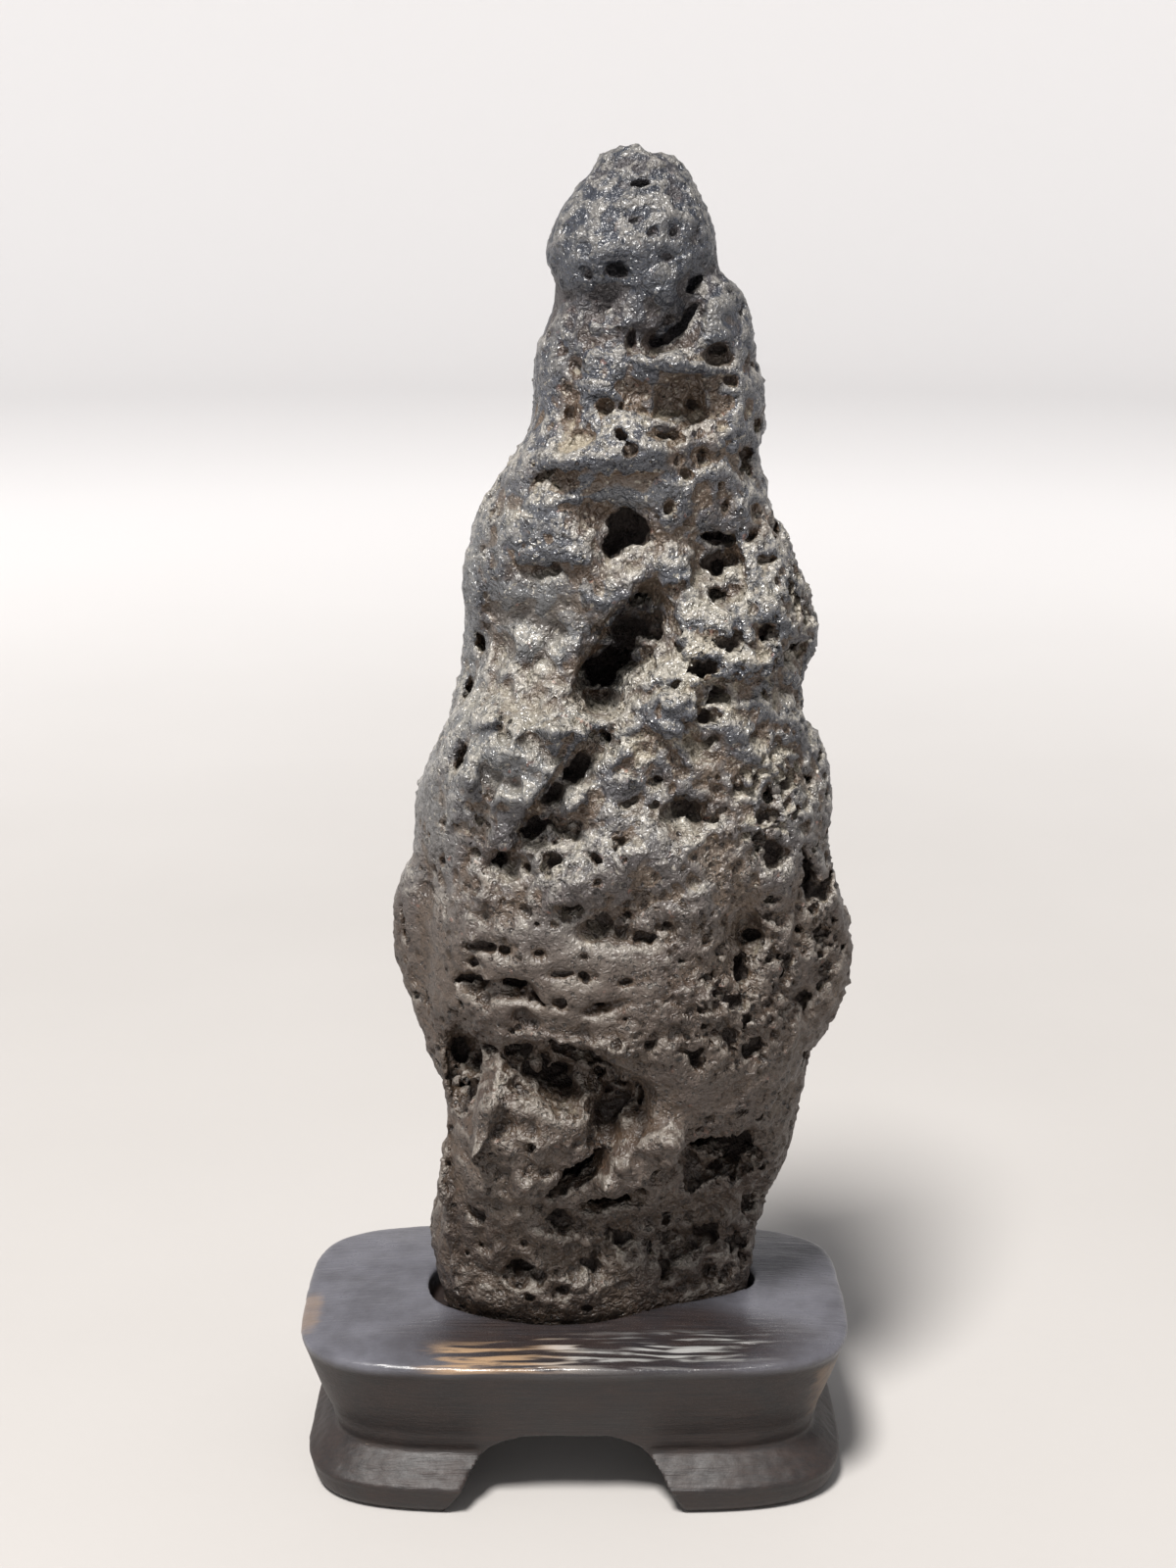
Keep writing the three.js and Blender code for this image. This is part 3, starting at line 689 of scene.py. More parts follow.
class Bubbles:
    """Closed lumpy bubbles gathered into one mesh, to be cut out of the stone together."""

    def __init__(self):
        self.work = bmesh.new()
        self.rough = []
        self.spheres = {}

    def sphere(self, detail):
        """A round mesh of unit radius, kept for the bubbles of the same detail."""
        if detail not in self.spheres:
            work = bmesh.new()
            bmesh.ops.create_icosphere(work, subdivisions=detail, radius=1)
            mesh = bpy.data.meshes.new("bubble")
            work.to_mesh(mesh)
            round_points = np.array([vert.co for vert in work.verts])
            work.free()
            self.spheres[detail] = mesh, round_points
        return self.spheres[detail]

    def add(self, place, axes, radii):
        """One bubble with its own axes and radii."""
        widest = max(radii)
        detail = 2 if widest < 0.45 else 3 if widest < 1.2 else 4
        mesh, round_points = self.sphere(detail)
        points = (round_points * np.array(radii)) @ np.array(axes) + np.array(place)
        mesh.vertices.foreach_set("co", points.astype(np.float32).ravel())
        self.work.from_mesh(mesh, face_normals=False, vertex_normals=False)
        self.rough.append(np.full(len(points), OUT_OF_ROUND * min(radii) ** 0.5))

    def gathered(self):
        """All bubbles as one object, each pushed out of round."""
        mesh = bpy.data.meshes.new("bubbles")
        self.work.to_mesh(mesh)
        self.work.free()
        for spare, _ in self.spheres.values():
            bpy.data.meshes.remove(spare)
        bubbles = bpy.data.objects.new("bubbles", mesh)
        bpy.context.scene.collection.objects.link(bubbles)
        surface = Surface(bubbles)
        rough = np.concatenate(self.rough)[:, None]
        for wavelength, share in ((1.1, 1.0), (0.5, 0.35)):
            places = (surface.points / wavelength).tolist()
            surface.points += np.array([noise.noise_vector(p) for p in places]) * rough * share
        surface.write()
        return bubbles


def cave(bubbles, tree, direction, across, height, width, tall, depth, lean, random):
    """A cave or pit: one bubble let into the surface, with smaller ones that break its rim."""
    place, normal = touch(tree, direction, across, height)
    axes = tangent_frame(direction, normal, lean)
    sunk = place - axes[2] * depth * 0.3
    bubbles.add(sunk, axes, (width * 0.53, tall * 0.53, depth * 0.9))
    smallest = min(width, tall)
    for _ in range(int(2 + (width + tall) * 1.4)):
        angle = random.uniform(0, 2 * math.pi)
        rim = axes[0] * math.cos(angle) * width * 0.44 + axes[1] * math.sin(angle) * tall * 0.44
        radius = min(smallest * random.uniform(0.14, 0.32), random.uniform(0.25, 0.6))
        spot = place + rim - axes[2] * depth * random.uniform(0.0, 0.6)
        radii = (radius, radius, radius * random.uniform(0.8, 1.5))
        bubbles.add(spot, axes, radii)


def pore_weights(surface, smooth, crust):
    """How likely a pore is at each vertex."""
    x, _, z = surface.points.T
    front = smoothstep(-surface.normals[:, 1], -0.1, 0.3)
    clumps = smoothstep(wavy(surface.points, 7.5, 3, 21.0), -0.45, 0.5) + 0.12
    belly = 1.7 * np.exp(-(((z - 50) / 9) ** 2))
    foot = 1.5 * np.exp(-(((z - 26) / 9) ** 2))
    right = smoothstep(x, 9, 16)
    zones = 0.55 + front * (1.1 * belly + 0.6 * foot + 1.2 * right * (z < 92))
    zones *= 1 - 0.55 * smoothstep(z, 84, 94) * front
    return clumps * zones * (1 - 0.85 * smooth) * (1 + 0.6 * crust) * foot_share(surface.points)


def pore_bubbles(bubbles, surface, smooth, crust, count, random):
    """Gas bubbles that the surface cuts open, drawn out along the lava's flow."""
    weights = pore_weights(surface, smooth, crust)
    picks = random.choice(len(weights), count, replace=False, p=weights / weights.sum())
    for pick in picks:
        place, normal = Vector(surface.points[pick]), Vector(surface.normals[pick])
        axes = tangent_frame(normal, normal, random.normal(10, 22))
        radius = min(0.22 * math.exp(random.normal(0.22, 0.48)), 0.9)
        drawn = 1 + abs(random.normal(0, 0.45))
        deep = radius * random.uniform(1.2, 2.6)
        radii = (radius * drawn, radius / drawn**0.3, deep)
        bubbles.add(place - axes[2] * deep * random.uniform(0.0, 0.5), axes, radii)


def joined(piece, other):
    """Adds another object's mesh to a piece's, and removes the object."""
    work = bmesh.new()
    work.from_mesh(piece.data)
    work.from_mesh(other.data)
    work.to_mesh(piece.data)
    work.free()
    bpy.data.meshes.remove(other.data)


def add_lumps(stone, tree):
    """Sets the lumps into their caves. They grow together with the stone when it is voxelled."""
    gathering = Bubbles()
    for x, height, width, tall, thickness, lean, sunk in LUMPS:
        place, normal = touch(tree, FRONT, x, height)
        axes = tangent_frame(FRONT, normal, lean)
        gathering.add(place - axes[2] * sunk, axes, (width / 2, tall / 2, thickness / 2))
    joined(stone, gathering.gathered())


def carve_bubbles(stone, settings, random):
    """Cuts all caves and pores out of the stone at once, and returns the surface before the cut."""
    surface = Surface(stone)
    smooth, crust = smooth_share(surface), crust_share(surface)
    tree = surface.tree()
    gathering = Bubbles()
    for entry in CAVES:
        cave(gathering, tree, *entry, random)
    pore_bubbles(gathering, surface, smooth, crust, settings.pores, random)
    bubbles = gathering.gathered()
    voxelled(bubbles, BUBBLE_VOXEL)
    modified(stone, "BOOLEAN", operation="DIFFERENCE", solver="MANIFOLD", object=bubbles)
    bpy.data.meshes.remove(bubbles.data)
    add_lumps(stone, tree)
    return tree


def dimple(surface, places, radii, depths):
    """How far small round dimples sink the surface, or raise it along their rims."""
    tree = KDTree(len(surface.points))
    for index, point in enumerate(surface.points):
        tree.insert(point, index)
    tree.balance()
    sunk = np.zeros(len(surface.points))
    for place, radius, depth in zip(places, radii, depths):
        for _, index, distance in tree.find_range(place, radius * 1.6):
            reach = distance / radius
            bowl = -depth * max(0.0, 1 - reach * reach)
            rim = 0.16 * depth * math.exp(-(((reach - 1.15) / 0.28) ** 2))
            sunk[index] = min(sunk[index], bowl) if bowl < 0 else sunk[index] + rim
    return sunk


def pinholes(surface, smooth, crust, count, random):
    """Dimples too small to be cut as bubbles."""
    weights = 0.12 + pore_weights(surface, smooth, crust)
    picks = random.choice(len(weights), count, replace=False, p=weights / weights.sum())
    radii = 0.25 * np.exp(random.normal(0, 0.3, count))
    return dimple(surface, surface.points[picks], radii, radii * random.uniform(1.0, 1.9, count))


def undercut(points):
    """How far the foot draws in toward its seat: most at the front left, where a gap shows."""
    left = 1 - smoothstep(points[:, 0], -4, 12)
    return (0.1 + 0.6 * left) * (1 - smoothstep(points[:, 2], 15.0, 18.2))


def fine_relief(surface, pinhole_count, random):
    """Crust lumps, grain, ripples and pinholes, with the foot drawn in."""
    smooth, crust = smooth_share(surface), crust_share(surface)
    coarse = cells(surface.points, 1.25, 4.4)
    finer = cells(surface.points, 0.7, 9.1)
    lumps = crust * ((0.42 - coarse) * 1.3 + (0.42 - finer) * 0.5)
    grain = 0.16 * wavy(surface.points, 0.85, 3, 2.2) * (1 - 0.6 * smooth)
    ripple = 0.4 - np.abs(wavy(surface.points, 1.7, 3, 9.4)) * 1.7
    ripple *= 0.38 * (1 - 0.65 * smooth) * (1 - 0.35 * smoothstep(surface.points[:, 2], 84, 94))
    holes = pinholes(surface, smooth, crust, pinhole_count, random)
    fine = (lumps + grain + ripple + holes) * foot_share(surface.points)
    return fine - undercut(surface.points)


def make_stone(settings):
    """The stone, from its broad forms through its caves and pores to its fine grain."""
    random = np.random.default_rng(settings.seed)
    noise.seed_set(settings.seed)
    stone = node_copy("rock", "lava_stone")
    voxelled(stone, settings.rough_voxel)
    surface = Surface(stone)
    surface.relax(8)
    plain = surface.tree()
    broad_relief(surface, plain)
    calm = 1 - 0.6 * smooth_share(surface)
    relief = flow_relief(surface) * calm + cave_funnels(surface, plain)
    surface.lift(relief * foot_share(surface.points))
    uncut = carve_bubbles(stone, settings, random)
    voxelled(stone, settings.fine_voxel)
    drop_crumbs(stone)
    surface = Surface(stone)
    surface.lift(fine_relief(surface, settings.pinholes, random))
    thinned(stone, settings.triangles)
    surface = Surface(stone)
    store_stone_masks(surface, uncut, plain)
    in_metres(surface)
    return stone


def in_metres(surface):
    """Turns a finished piece from millimetres to metres."""
    surface.points *= MM
    surface.write()


def signed_height(tree, point):
    """How far a point stands out of a surface, or lies within it if negative."""
    place, normal, _, _ = tree.find_nearest(point)
    return (point - place).dot(normal)


def store_stone_masks(surface, uncut, plain):
    """What the stone's finish follows, measured on its finished shape."""
    points, normals = surface.points, surface.normals
    depth = np.array([uncut.find_nearest(point)[3] for point in points.tolist()])
    height = np.array([signed_height(plain, Vector(point)) for point in points.tolist()])
    edge = ((points - surface.relaxed(5)) * normals).sum(1)
    hollow = ((surface.relaxed(24) - points) * normals).sum(1)
    surface.store("height", surface.averaged(height, 1))
    surface.store("edge", surface.averaged(edge, 1))
    surface.store("cave_depth", surface.averaged(depth, 2))
    surface.store("hollow", surface.averaged(hollow, 1))
    surface.store("crust", crust_share(surface))
    surface.store("smooth", smooth_share(surface))
    surface.store("upward", surface.averaged(normals[:, 2], 3))


# ---- The stand ----

# Heights on it, in millimetres.
FOOT_LEDGE = 2.7  # the outer edge of the feet
GROOVE = 5.2  # where the plate's underside runs into the feet
RIM = 15.0  # the edge of the top

SCRAPED_PLACE = (6.0, -10.6, 32.0, 7.5)  # before the stone: x, y, width, depth


def make_stand(settings):
    stand = node_copy("stand", "carved_stand")
    voxelled(stand, settings.voxel)
    surface = Surface(stand)
    surface.relax(2)
    carve_wood(surface)
    thinned(stand, settings.triangles)
    in_metres(Surface(stand))
    return stand


def carve_wood(surface):
    """The marks of the knife: the groove over the feet, soft waves, and facets before the stone."""
    x, y, z = surface.points.T
    outer = np.maximum(smoothstep(np.abs(x), 18.7, 19.6), smoothstep(np.abs(y), 8.0, 8.8))
    away_x = np.sign(x) * np.maximum(np.abs(x) - 14, 0)
    away_y = np.sign(y) * np.maximum(np.abs(y) - 3.5, 0)
    away = np.stack([away_x, away_y], 1) / np.maximum(np.hypot(away_x, away_y), 0.1)[:, None]
    groove = 0.45 * np.exp(-(((z - GROOVE) / 0.6) ** 2))
    ledge = 0.3 * np.exp(-(((z - FOOT_LEDGE) / 0.5) ** 2))
    surface.points[:, :2] -= away * (outer * (groove - ledge))[:, None]
    surface.write()

    points, normals = surface.points, surface.normals
    x, y, z = points.T
    above_floor = smoothstep(z, 0.3, 1.5)
    waves = 0.11 * wavy(points, 8, 2, 1.3) + 0.03 * wavy(points, 2.6, 2, 6.1, stretch=(2, 1, 1))
    top = smoothstep(normals[:, 2], 0.6, 0.9) * smoothstep(z, 13.5, 14.6)
    scraped = smoothstep(-ellipse_reach(x, y, SCRAPED_PLACE), -1.2, -0.5)
    facets = cells(points, 1.0, 3.3, stretch=(3.2, 0.7, 2.0))
    foot_top = smoothstep(z, FOOT_LEDGE, 3.3) * (1 - smoothstep(z, 4.6, GROOVE)) * outer
    dints = cells(points, 0.95, 7.7, stretch=(1.5, 1, 1))
    lift = waves + top * scraped * (0.3 - facets) * 0.26 + foot_top * (0.35 - dints) * 0.12
    rim = np.exp(-((z - RIM) ** 2)) * np.sin(x * 0.34 + 1.2) * 0.16 * smoothstep(-y, 6, 11)
    surface.lift((lift + rim) * above_floor)


# ---- Shader helpers ----


def on_either_side(operation):
    """A Math node as an operator, for a signal on its left and for one on its right."""

    def on_the_left(signal, other):
        return signal.math(operation, signal, other)

    def on_the_right(signal, other):
        return signal.math(operation, other, signal)

    return on_the_left, on_the_right


class Signal:
    """A shader socket that takes part in plain arithmetic."""

    def __init__(self, shader, socket):
        self.shader = shader
        self.socket = socket

    def math(self, operation, *operands):
        return self.shader.node(
            "ShaderNodeMath", {"operation": operation}, dict(enumerate(operands))
        )

    __add__, __radd__ = on_either_side("ADD")
    __sub__, __rsub__ = on_either_side("SUBTRACT")
    __mul__, __rmul__ = on_either_side("MULTIPLY")
    __truediv__, __rtruediv__ = on_either_side("DIVIDE")
    __pow__, __rpow__ = on_either_side("POWER")

    def __abs__(self):
        return self.math("ABSOLUTE", self)

    def most(self, other):
        return self.math("MAXIMUM", self, other)

    def step(self, low, high):
        """0 below low and 1 above high, with a soft rise between them."""
        return self.shader.node(
            "ShaderNodeMapRange",
            {"interpolation_type": "SMOOTHSTEP", "clamp": True},
            {"Value": self, "From Min": low, "From Max": high, "To Min": 0, "To Max": 1},
        )


class Shader:
    """Builds one material's nodes on Object coordinates in millimetres."""

    def __init__(self, name):
        self.material = bpy.data.materials.new(name)
        self.material.use_nodes = True
        self.tree = self.material.node_tree
        self.tree.nodes.clear()
        coordinates = self.node("ShaderNodeTexCoord", output="Object")
        self.place = self.node(
            "ShaderNodeVectorMath", {"operation": "SCALE"}, {0: coordinates, "Scale": 1 / MM}
        )

    def node(self, kind, settings=None, inputs=None, output=0):
        """Adds a node: its settings are set first, then each input is linked or given its value."""
        made = self.tree.nodes.new(kind)
        for name, value in (settings or {}).items():
            setattr(made, name, value)
        for name, value in (inputs or {}).items():
            if isinstance(value, Signal):
                self.tree.links.new(value.socket, made.inputs[name])
            else:
                made.inputs[name].default_value = value
        return None if output is None else Signal(self, made.outputs[output])

    def attribute(self, name):
        return self.node("ShaderNodeAttribute", {"attribute_name": name}, output="Fac")

    def axis(self, name):
        """The place's X, Y or Z."""
        return self.node("ShaderNodeSeparateXYZ", {}, {0: self.place}, output=name)

    def stretched(self, stretch, turn=(0, 0, 0)):
        """The place, drawn out by a factor along each axis and turned by degrees."""
        return self.node(
            "ShaderNodeMapping",
            {"vector_type": "POINT"},
            {
                "Vector": self.place,
                "Rotation": [math.radians(angle) for angle in turn],
                "Scale": [1 / factor for factor in stretch],
            },
        )

    def bent(self, amount, wavelength):
        """The place, pushed about by up to an amount, so that what is laid on it isn't regular."""
        push = self.node(
            "ShaderNodeTexNoise", {}, {"Vector": self.place, "Scale": 1 / wavelength}, output="Color"
        )
        return self.node(
            "ShaderNodeVectorMath",
            {"operation": "MULTIPLY_ADD"},
            {0: push, 1: (amount * 2,) * 3, 2: self.place},
        )

    def noise(self, wavelength, detail=3, roughness=0.55, place=None, shift=0.0):
        """Noise from 0 to 1."""
        return self.node(
            "ShaderNodeTexNoise",
            {"noise_dimensions": "4D"},
            {
                "Vector": place or self.place,
                "W": shift,
                "Scale": 1 / wavelength,
                "Detail": detail,
                "Roughness": roughness,
            },
        )

    def cells(self, size, place):
        """Distance to the nearest seed, in cell sizes."""
        return self.node(
            "ShaderNodeTexVoronoi", {}, {"Vector": place, "Scale": 1 / size}, output="Distance"
        )

    def mix(self, share, below, above):
        """From the colour below to the one above."""
        below, above = (
            colour if isinstance(colour, Signal) else (*colour, 1) for colour in (below, above)
        )
        colour_sockets = {0: share, 6: below, 7: above}
        return self.node("ShaderNodeMix", {"data_type": "RGBA"}, colour_sockets, output=2)

    def finish(self, base, roughness, height, distance, gloss=0.5):
        """Joins it all to one Principled surface, and the height to its normal through a Bump."""
        normal = self.node(
            "ShaderNodeBump", {}, {"Height": height, "Distance": distance, "Strength": 1.0}
        )
        surface = self.node(
            "ShaderNodeBsdfPrincipled",
            {},
            {
                "Base Color": base,
                "Roughness": roughness,
                "Normal": normal,
                "Specular IOR Level": gloss,
            },
        )
        self.node("ShaderNodeOutputMaterial", {}, {"Surface": surface}, output=None)
        return self.material


# ---- Finishes ----


def lava_finish(settings):
    """Earth and slate under dust, with rust in the caves; painted shade in the caves, pores, hollows and
    toward the foot, a painted sheen on the middle and painted highlights on lips.
    """
    shader = Shader("lava")
    cave_depth = shader.attribute("cave_depth")
    hollow = shader.attribute("hollow")
    height = shader.attribute("height")
    crust = shader.attribute("crust")
    upward = shader.attribute("upward")
    smooth = shader.attribute("smooth")
    edge = shader.attribute("edge")
    z = shader.axis("Z")

    patches = shader.noise(2.6, 5, 0.65, shift=3)
    broad = shader.noise(8, 3, 0.6, shift=5)
    speckle = shader.noise(0.42, 3, 0.7, shift=7)
    fine = shader.noise(0.17, 3, 0.7, shift=11)
    deep = cave_depth.step(0.45, 1.5)
    high = z.step(46, 76)
    middle = z.step(50, 64) * (1 - z.step(82, 98))
    head = z.step(97, 109)

    # Earth in the hollows and slate on the worn tops.
    worn = (0.05 - hollow).step(-0.06, 0.14) * 0.6 + height.step(-0.3, 0.4) * 0.35 + smooth * 0.15
    slate_share = (worn + (patches - 0.5) * 1.3 + (speckle - 0.5) * 0.3 - 0.32).step(0.0, 0.5)
    slate_share = slate_share * (0.2 + high * 0.8)
    earth = shader.mix(broad.step(0.35, 0.65), settings.earth, settings.umber)
    base = shader.mix(slate_share, earth, settings.slate)

    # Dust clings in grains to what faces up, over the crust and in hollows: least on the head.
    dusty = upward.step(-0.15, 0.7) * 0.55 + crust * 0.35 + high * 0.15 + hollow.step(0.0, 0.3) * 0.2
    dusty = dusty + (patches - 0.5) * 1.3 + (speckle - 0.5) * 0.9 + middle * 0.16 - head * 0.3
    dust_share = (dusty - 0.6).step(0.0, 0.5) * (1 - deep)
    base = shader.mix(dust_share * 0.75, base, settings.buff)
    # A painted silver sheen on smooth faces of the middle, most where they face up, stands in for their
    # highlights.
    silver_sheen = smooth * 0.5 + upward.step(-0.1, 0.6) * 0.4 + (patches - 0.5) * 0.8 + 0.1
    silver_sheen = silver_sheen.step(0.0, 1.0) * middle * (1 - deep)
    base = shader.mix(silver_sheen * 0.7, base, settings.silver_sheen)

    # Rust in the caves and toward the foot, then painted shade, near black, in their depths.
    low = 1 - z.step(16, 46)
    stain = shader.noise(1.8, 3, 0.6, shift=29)
    rusty = (deep * 0.8 + low * 0.3 + (stain - 0.5) * 1.4 - 0.45).step(0.0, 0.5)
    base = shader.mix(rusty * 0.6, base, settings.rust)
    base = shader.mix(cave_depth.step(0.3, 1.7) * 0.88, base, settings.pit_shade)

    # Pin pores painted dark as their shade, and small pale and pink mineral grains; the pale ones are
    # partly painted glints.
    pore_field = (shader.noise(3.4, 2, 0.5, shift=41) - high * 0.06).step(0.36, 0.6)
    bent = shader.bent(0.35, 0.9)
    pin = (1 - shader.cells(0.5, bent).step(0.14, 0.32)) * pore_field
    hole = 1 - shader.cells(1.25, bent).step(0.13, 0.21)
    hole = hole * (shader.noise(5, 2, 0.5, shift=47) - high * 0.06).step(0.34, 0.5)
    pin = pin.most(hole) * (1 - head * 0.6) * (1 - smooth * high * 0.6)
    base = shader.mix(pin * 0.9, base, settings.pit_shade)
    # Pale grains, more on the upper stone, are partly painted glints.
    pale = shader.noise(0.4, 2, 0.5, shift=19).step(0.6, 0.7) * (1 - deep) * (0.1 + high * 0.4)
    base = shader.mix(pale, base, settings.pale_grain_and_glint)
    pink = shader.noise(0.8, 2, 0.5, shift=53).step(0.66, 0.76) * (1 - deep) * 0.45
    base = shader.mix(pink, base, settings.pink_grain)
    base = shader.mix((0.55 - fine).step(0.0, 0.3) * 0.25, base, settings.dark_grain)

    # Painted shade, dark brown, darkens the hollows and the lower stone toward the foot, and the head is
    # blue-black.
    sunk = hollow.step(0.0, 0.3) * (1 - high * 0.75)
    base = shader.mix(sunk * 0.75, base, settings.hollow_shade)
    # Painted shade, brown: darker toward the foot and along the lower belly, under its overhang.
    shade = (1 - z.step(16, 66)) * 0.6 + z.step(36, 44) * (1 - z.step(51, 57)) * 0.2
    base = shader.mix(shade, base, settings.foot_shade)
    base = shader.mix(head * 0.75, base, settings.head_blue)

    # Lips and crests that face up get a pale painted highlight.
    lip = edge.step(0.015, 0.07) * upward.step(-0.1, 0.5) * (speckle + 0.1).step(0.42, 0.66)
    lip = lip * (1 - deep) * (0.5 + high * 0.5 - head * 0.4)
    base = shader.mix(lip * 0.6, base, settings.lip_highlight)

    # Worn faces are satin, dust and caves are dull. Wrinkles about a millimetre long catch the light.
    roughness = 0.52 - slate_share * high * 0.2 - high * 0.06 + dust_share * 0.06 + deep * 0.3
    roughness = roughness - silver_sheen * 0.16 + head * 0.06
    strength = (0.8 + high * 0.2) * (1 - smooth * (1 - high) * 0.3)
    wrinkles = shader.noise(1.25, 3, 0.5, place=bent, shift=61)
    creases = abs(shader.noise(0.75, 2, 0.5, place=bent, shift=63) - 0.5)
    relief = wrinkles * 1.1 - creases * 1.4 + speckle * 0.12 - pin * 0.4
    return shader.finish(base, roughness.most(0.2), relief * strength, 0.7 * MM, gloss=0.75)


def wood_finish(settings):
    """Stained and waxed wood, scraped and worn in places, with painted reflections and glints."""
    shader = Shader("ebonised wood")
    x, y, z = (shader.axis(name) for name in "XYZ")
    grain = shader.noise(0.5, 4, 0.65, place=shader.stretched((11, 0.8, 0.7)))
    fibres = shader.noise(0.2, 2, 0.5, place=shader.stretched((16, 1, 0.8)), shift=5)
    mottle = shader.noise(4.5, 4, 0.6, shift=9)
    fine = shader.noise(0.3, 3, 0.65, shift=13)
    top = z.step(13.8, 14.9)

    # A brown-black stain, with a bluish, paler painted reflection of the surroundings over the flat top,
    # mottled, and mostly left out before the stone, where the dark stone would be reflected.
    base = shader.mix((mottle + grain - 0.6).step(0.1, 0.7) * 0.5, settings.stain, settings.brown)
    top_reflection = shader.mix(mottle.step(0.3, 0.7) * 0.45, settings.top_reflection, settings.stain)
    before_stone = 1 - (((x - 3) / 19) ** 2 + ((y + 9.5) / 6.5) ** 2).step(0.3, 1.4)
    base = shader.mix(top * (1 - before_stone * 0.9), base, top_reflection)

    # Before the stone the top is scraped: tan streaks at the left, and to their right pale streaks that
    # are painted glints.
    lines = shader.noise(0.55, 1, 0.5, place=shader.stretched((16, 1, 1), (0, 0, -6)), shift=21)
    flecks = shader.noise(0.8, 3, 0.6, place=shader.stretched((5, 1, 1), (0, 0, -8)), shift=27)
    band = 1 - (abs(y + 12.0 - x * 0.08) / 3.0).step(0.3, 1.1)
    tan_span = x.step(-15.5, -11) * (1 - x.step(-3, 5))
    pale_span = x.step(-6, 0) * (1 - x.step(12, 21))
    thin = lines.step(0.46, 0.6) * band * top
    tan = thin * (flecks + tan_span * 0.25 - 0.5).step(0.0, 0.25) * tan_span
    pale = thin * (flecks + pale_span * 0.2 - 0.52).step(0.0, 0.2) * pale_span
    base = shader.mix(tan * 0.9, base, settings.bare)
    base = shader.mix(pale * 0.75, base, settings.scraped)

    # Worn brown at the left rim, a brown painted reflection down the right end, and a few light scratches
    # on the front.
    left_rim = (1 - (x + 24.4).step(0.2, 2.4)) * top * (1 - (abs(y + 4) / 6).step(0.3, 1))
    right_end_reflection = x.step(19.5, 22.5) * z.step(5.5, 7.5) * (1 - z.step(13.0, 14.8)) * (1 - y.step(-2, 6))
    worn = (left_rim * 0.8 + right_end_reflection * 0.7 + (flecks - 0.5) * 0.9 - 0.35).step(0.0, 0.5)
    base = shader.mix(worn * 0.35, base, settings.bare)
    scratch = shader.noise(0.5, 2, 0.5, place=shader.stretched((9, 0.4, 0.35), (0, 3, 0)), shift=33)
    scratch = scratch.step(0.72, 0.76) * (1 - top) * shader.noise(7, 1, 0.5, shift=37).step(0.5, 0.65)
    base = shader.mix(scratch * 0.5, base, settings.scratch)

    scraped = before_stone * top
    ledge = z.step(2.6, 3.2) * (1 - z.step(4.6, 5.3))
    roughness = 0.5 + (mottle - 0.5) * 0.2 + (fine - 0.5) * 0.2 - top * 0.18
    roughness = roughness + ledge * 0.06 + scratch * 0.1 - scraped * 0.06
    height = grain * 0.5 + fibres * 0.25 + fine * 0.2 + scraped * (lines + flecks * 0.8) * 1.6
    return shader.finish(base, roughness.most(0.2), height, 0.11 * MM)


def floor_finish(settings):
    shader = Shader("floor")
    x, y = shader.axis("X"), shader.axis("Y")
    tone = shader.noise(60, 3, 0.5)
    afar = ((x * x + y * y) ** 0.5).step(90, 700)
    base = shader.mix(afar, settings.floor, settings.sweep)
    base = shader.mix(tone * 0.1, base, settings.sweep)
    return shader.finish(base, tone * 0.1 + 0.75, shader.noise(2, 2), 0.02 * MM)


# ---- Stage ----


def soft_box(name, place, target, size, power, colour):
    """A round soft light that looks at a target."""
    data = bpy.data.lights.new(name, "AREA")
    data.shape = "DISK"
    data.size = size
    data.energy = power
    data.color = colour
    light = bpy.data.objects.new(name, data)
    light.location = place
    light.rotation_euler = (Vector(target) - Vector(place)).to_track_quat("-Z", "Y").to_euler()
    bpy.context.scene.collection.objects.link(light)


def surroundings(strength):
    world = bpy.data.worlds.new("pale studio")
    world.use_nodes = True
    background = world.node_tree.nodes["Background"]
    background.inputs["Color"].default_value = (0.93, 0.93, 0.96, 1)
    background.inputs["Strength"].default_value = strength
    bpy.context.scene.world = world


def make_camera(settings):
    data = bpy.data.cameras.new("camera")
    data.sensor_width = 36
    data.lens = settings.lens
    data.clip_start, data.clip_end = 0.01, 20
    camera = bpy.data.objects.new("camera", data)
    camera.location = (settings.aside, -settings.distance, settings.height)
    camera.rotation_euler = (math.radians(90) - settings.pitch, 0, 0)
    bpy.context.scene.collection.objects.link(camera)
    bpy.context.scene.camera = camera


def make_floor(settings):
    """A round floor that sweeps up far behind the object, on all sides."""
    work = bmesh.new()
    level, bend = 1.1, 0.5
    profile = [(0.0, 0.0), (level, 0.0)]
    profile += [
        (level + bend * math.sin(angle), bend - bend * math.cos(angle))
        for angle in np.radians(np.arange(6, 91, 6)).tolist()
    ]
    verts = [work.verts.new((radius, 0, height)) for radius, height in profile]
    edges = [work.edges.new(pair) for pair in zip(verts, verts[1:])]
    bmesh.ops.spin(
        work, geom=verts + edges, axis=(0, 0, 1), angle=2 * math.pi, steps=96, use_merge=True
    )
    bmesh.ops.remove_doubles(work, verts=work.verts, dist=1e-5)
    bmesh.ops.recalc_face_normals(work, faces=work.faces)
    mesh = bpy.data.meshes.new("floor")
    work.to_mesh(mesh)
    work.free()
    mesh.polygons.foreach_set("use_smooth", [True] * len(mesh.polygons))
    mesh.materials.append(floor_finish(settings))
    floor = bpy.data.objects.new("floor", mesh)
    bpy.context.scene.collection.objects.link(floor)


# ---- Operators ----


def finished(piece, finish, node):
    """Gives a piece its finish and its place in the frame."""
    piece.data.materials.clear()
    piece.data.materials.append(finish)
    piece.data.polygons.foreach_set("material_index", [0] * len(piece.data.polygons))
    piece.data.polygons.foreach_set("use_smooth", [True] * len(piece.data.polygons))
    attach(piece, "root")
    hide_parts(node)


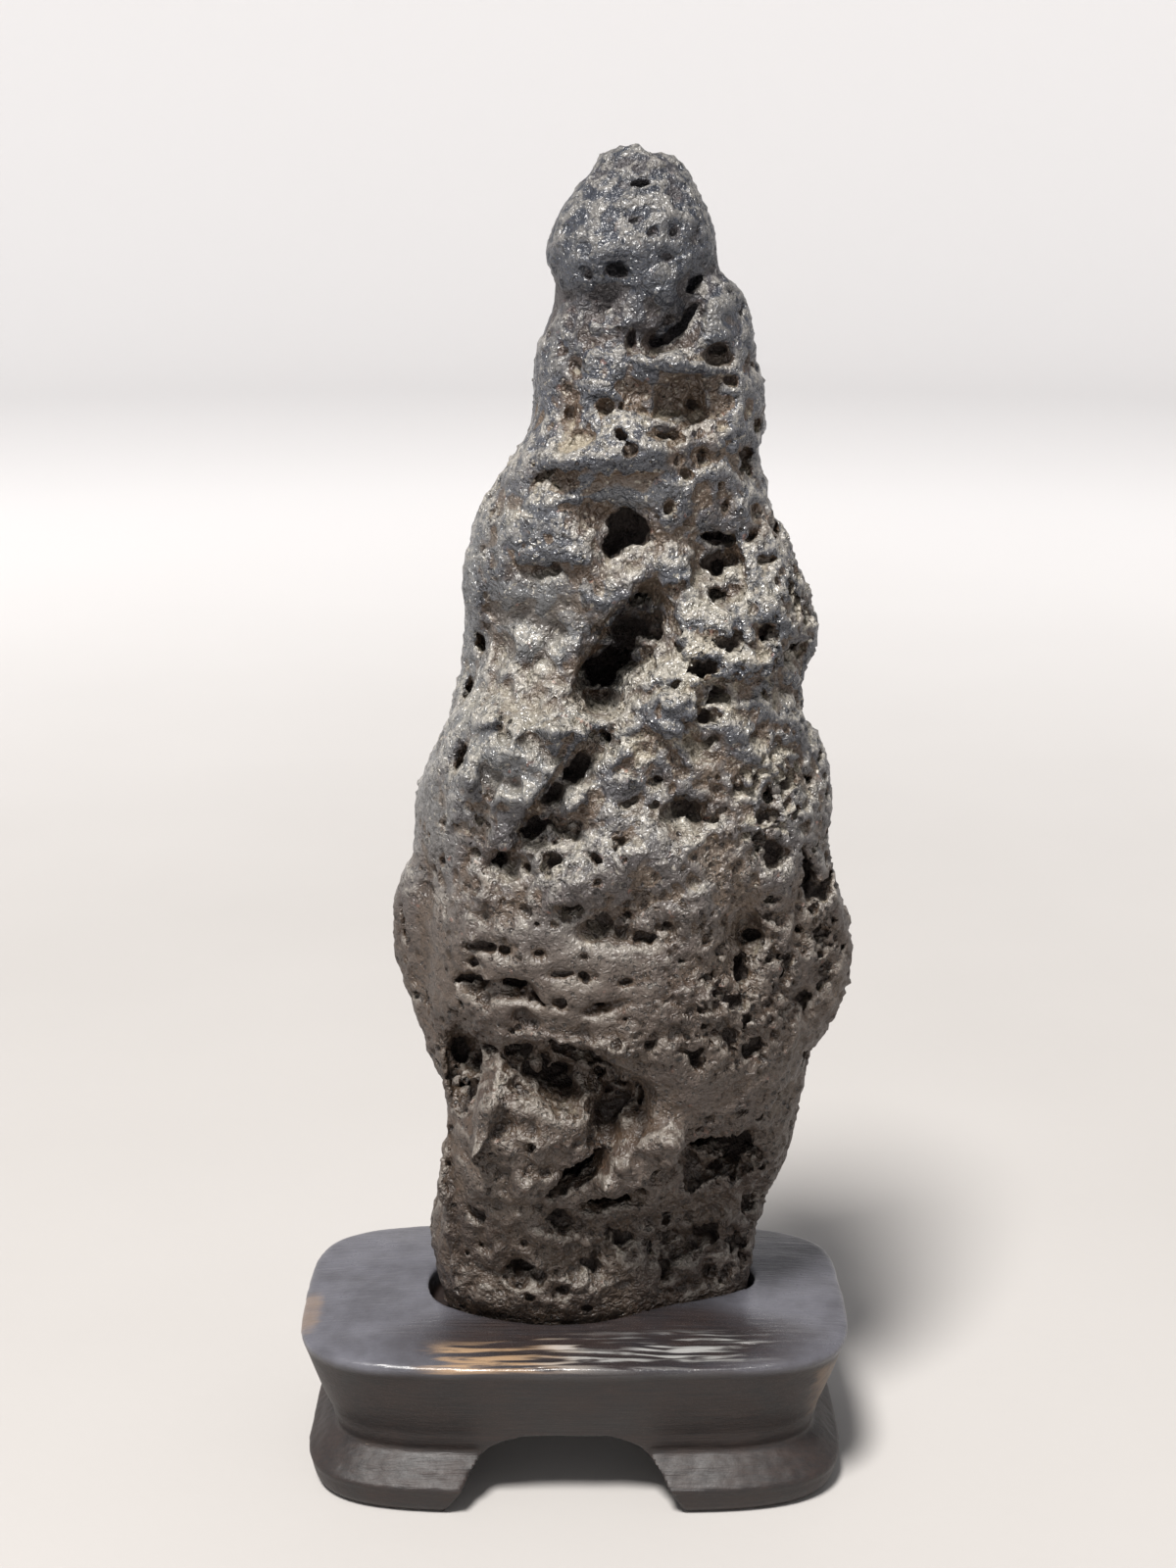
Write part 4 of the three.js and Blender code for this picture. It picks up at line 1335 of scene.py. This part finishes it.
class SCHOLAR_OT_stage(bpy.types.Operator):
    """Make the floor, the lights and the camera"""

    bl_idname = "scholar.stage"
    bl_label = "Stage"

    def execute(self, context):
        settings = context.scene.scholar_stage
        make_camera(settings)
        make_floor(settings)
        surroundings(settings.sky)
        context.scene.view_settings.view_transform = "Standard"
        soft_box("key", (-0.28, -0.62, 1.35), (0, 0, 0.06), 0.36, settings.key, (1, 0.97, 0.94))
        return {"FINISHED"}


class SCHOLAR_OT_stone(bpy.types.Operator):
    """Carve the lava stone"""

    bl_idname = "scholar.stone"
    bl_label = "Lava stone"

    def execute(self, context):
        settings = context.scene.scholar_stone
        finished(make_stone(settings), lava_finish(settings), "rock")
        return {"FINISHED"}


class SCHOLAR_OT_stand(bpy.types.Operator):
    """Carve the wooden stand"""

    bl_idname = "scholar.stand"
    bl_label = "Carved stand"

    def execute(self, context):
        settings = context.scene.scholar_stand
        finished(make_stand(settings), wood_finish(settings), "stand")
        return {"FINISHED"}


class SCHOLAR_PT_panel(bpy.types.Panel):
    """Lists the pieces and their settings"""

    bl_idname = "SCHOLAR_PT_panel"
    bl_label = "Scholar's rock"
    bl_space_type = "VIEW_3D"
    bl_region_type = "UI"
    bl_category = "Scholar's rock"

    def draw(self, context):
        scene = context.scene
        groups = (
            ("scholar.stage", scene.scholar_stage),
            ("scholar.stone", scene.scholar_stone),
            ("scholar.stand", scene.scholar_stand),
        )
        for operator, settings in groups:
            box = self.layout.box()
            box.operator(operator)
            for name in settings.__annotations__:
                box.prop(settings, name)


CLASSES = (
    StoneSettings,
    StandSettings,
    StageSettings,
    SCHOLAR_OT_stage,
    SCHOLAR_OT_stone,
    SCHOLAR_OT_stand,
    SCHOLAR_PT_panel,
)


def register():
    for cls in CLASSES:
        bpy.utils.register_class(cls)
    bpy.types.Scene.scholar_stone = PointerProperty(type=StoneSettings)
    bpy.types.Scene.scholar_stand = PointerProperty(type=StandSettings)
    bpy.types.Scene.scholar_stage = PointerProperty(type=StageSettings)


def unregister():
    del bpy.types.Scene.scholar_stage
    del bpy.types.Scene.scholar_stand
    del bpy.types.Scene.scholar_stone
    for cls in reversed(CLASSES):
        bpy.utils.unregister_class(cls)


def main():
    register()
    bpy.ops.scholar.stage()
    bpy.ops.scholar.stone()
    bpy.ops.scholar.stand()


if __name__ == "__main__":
    main()
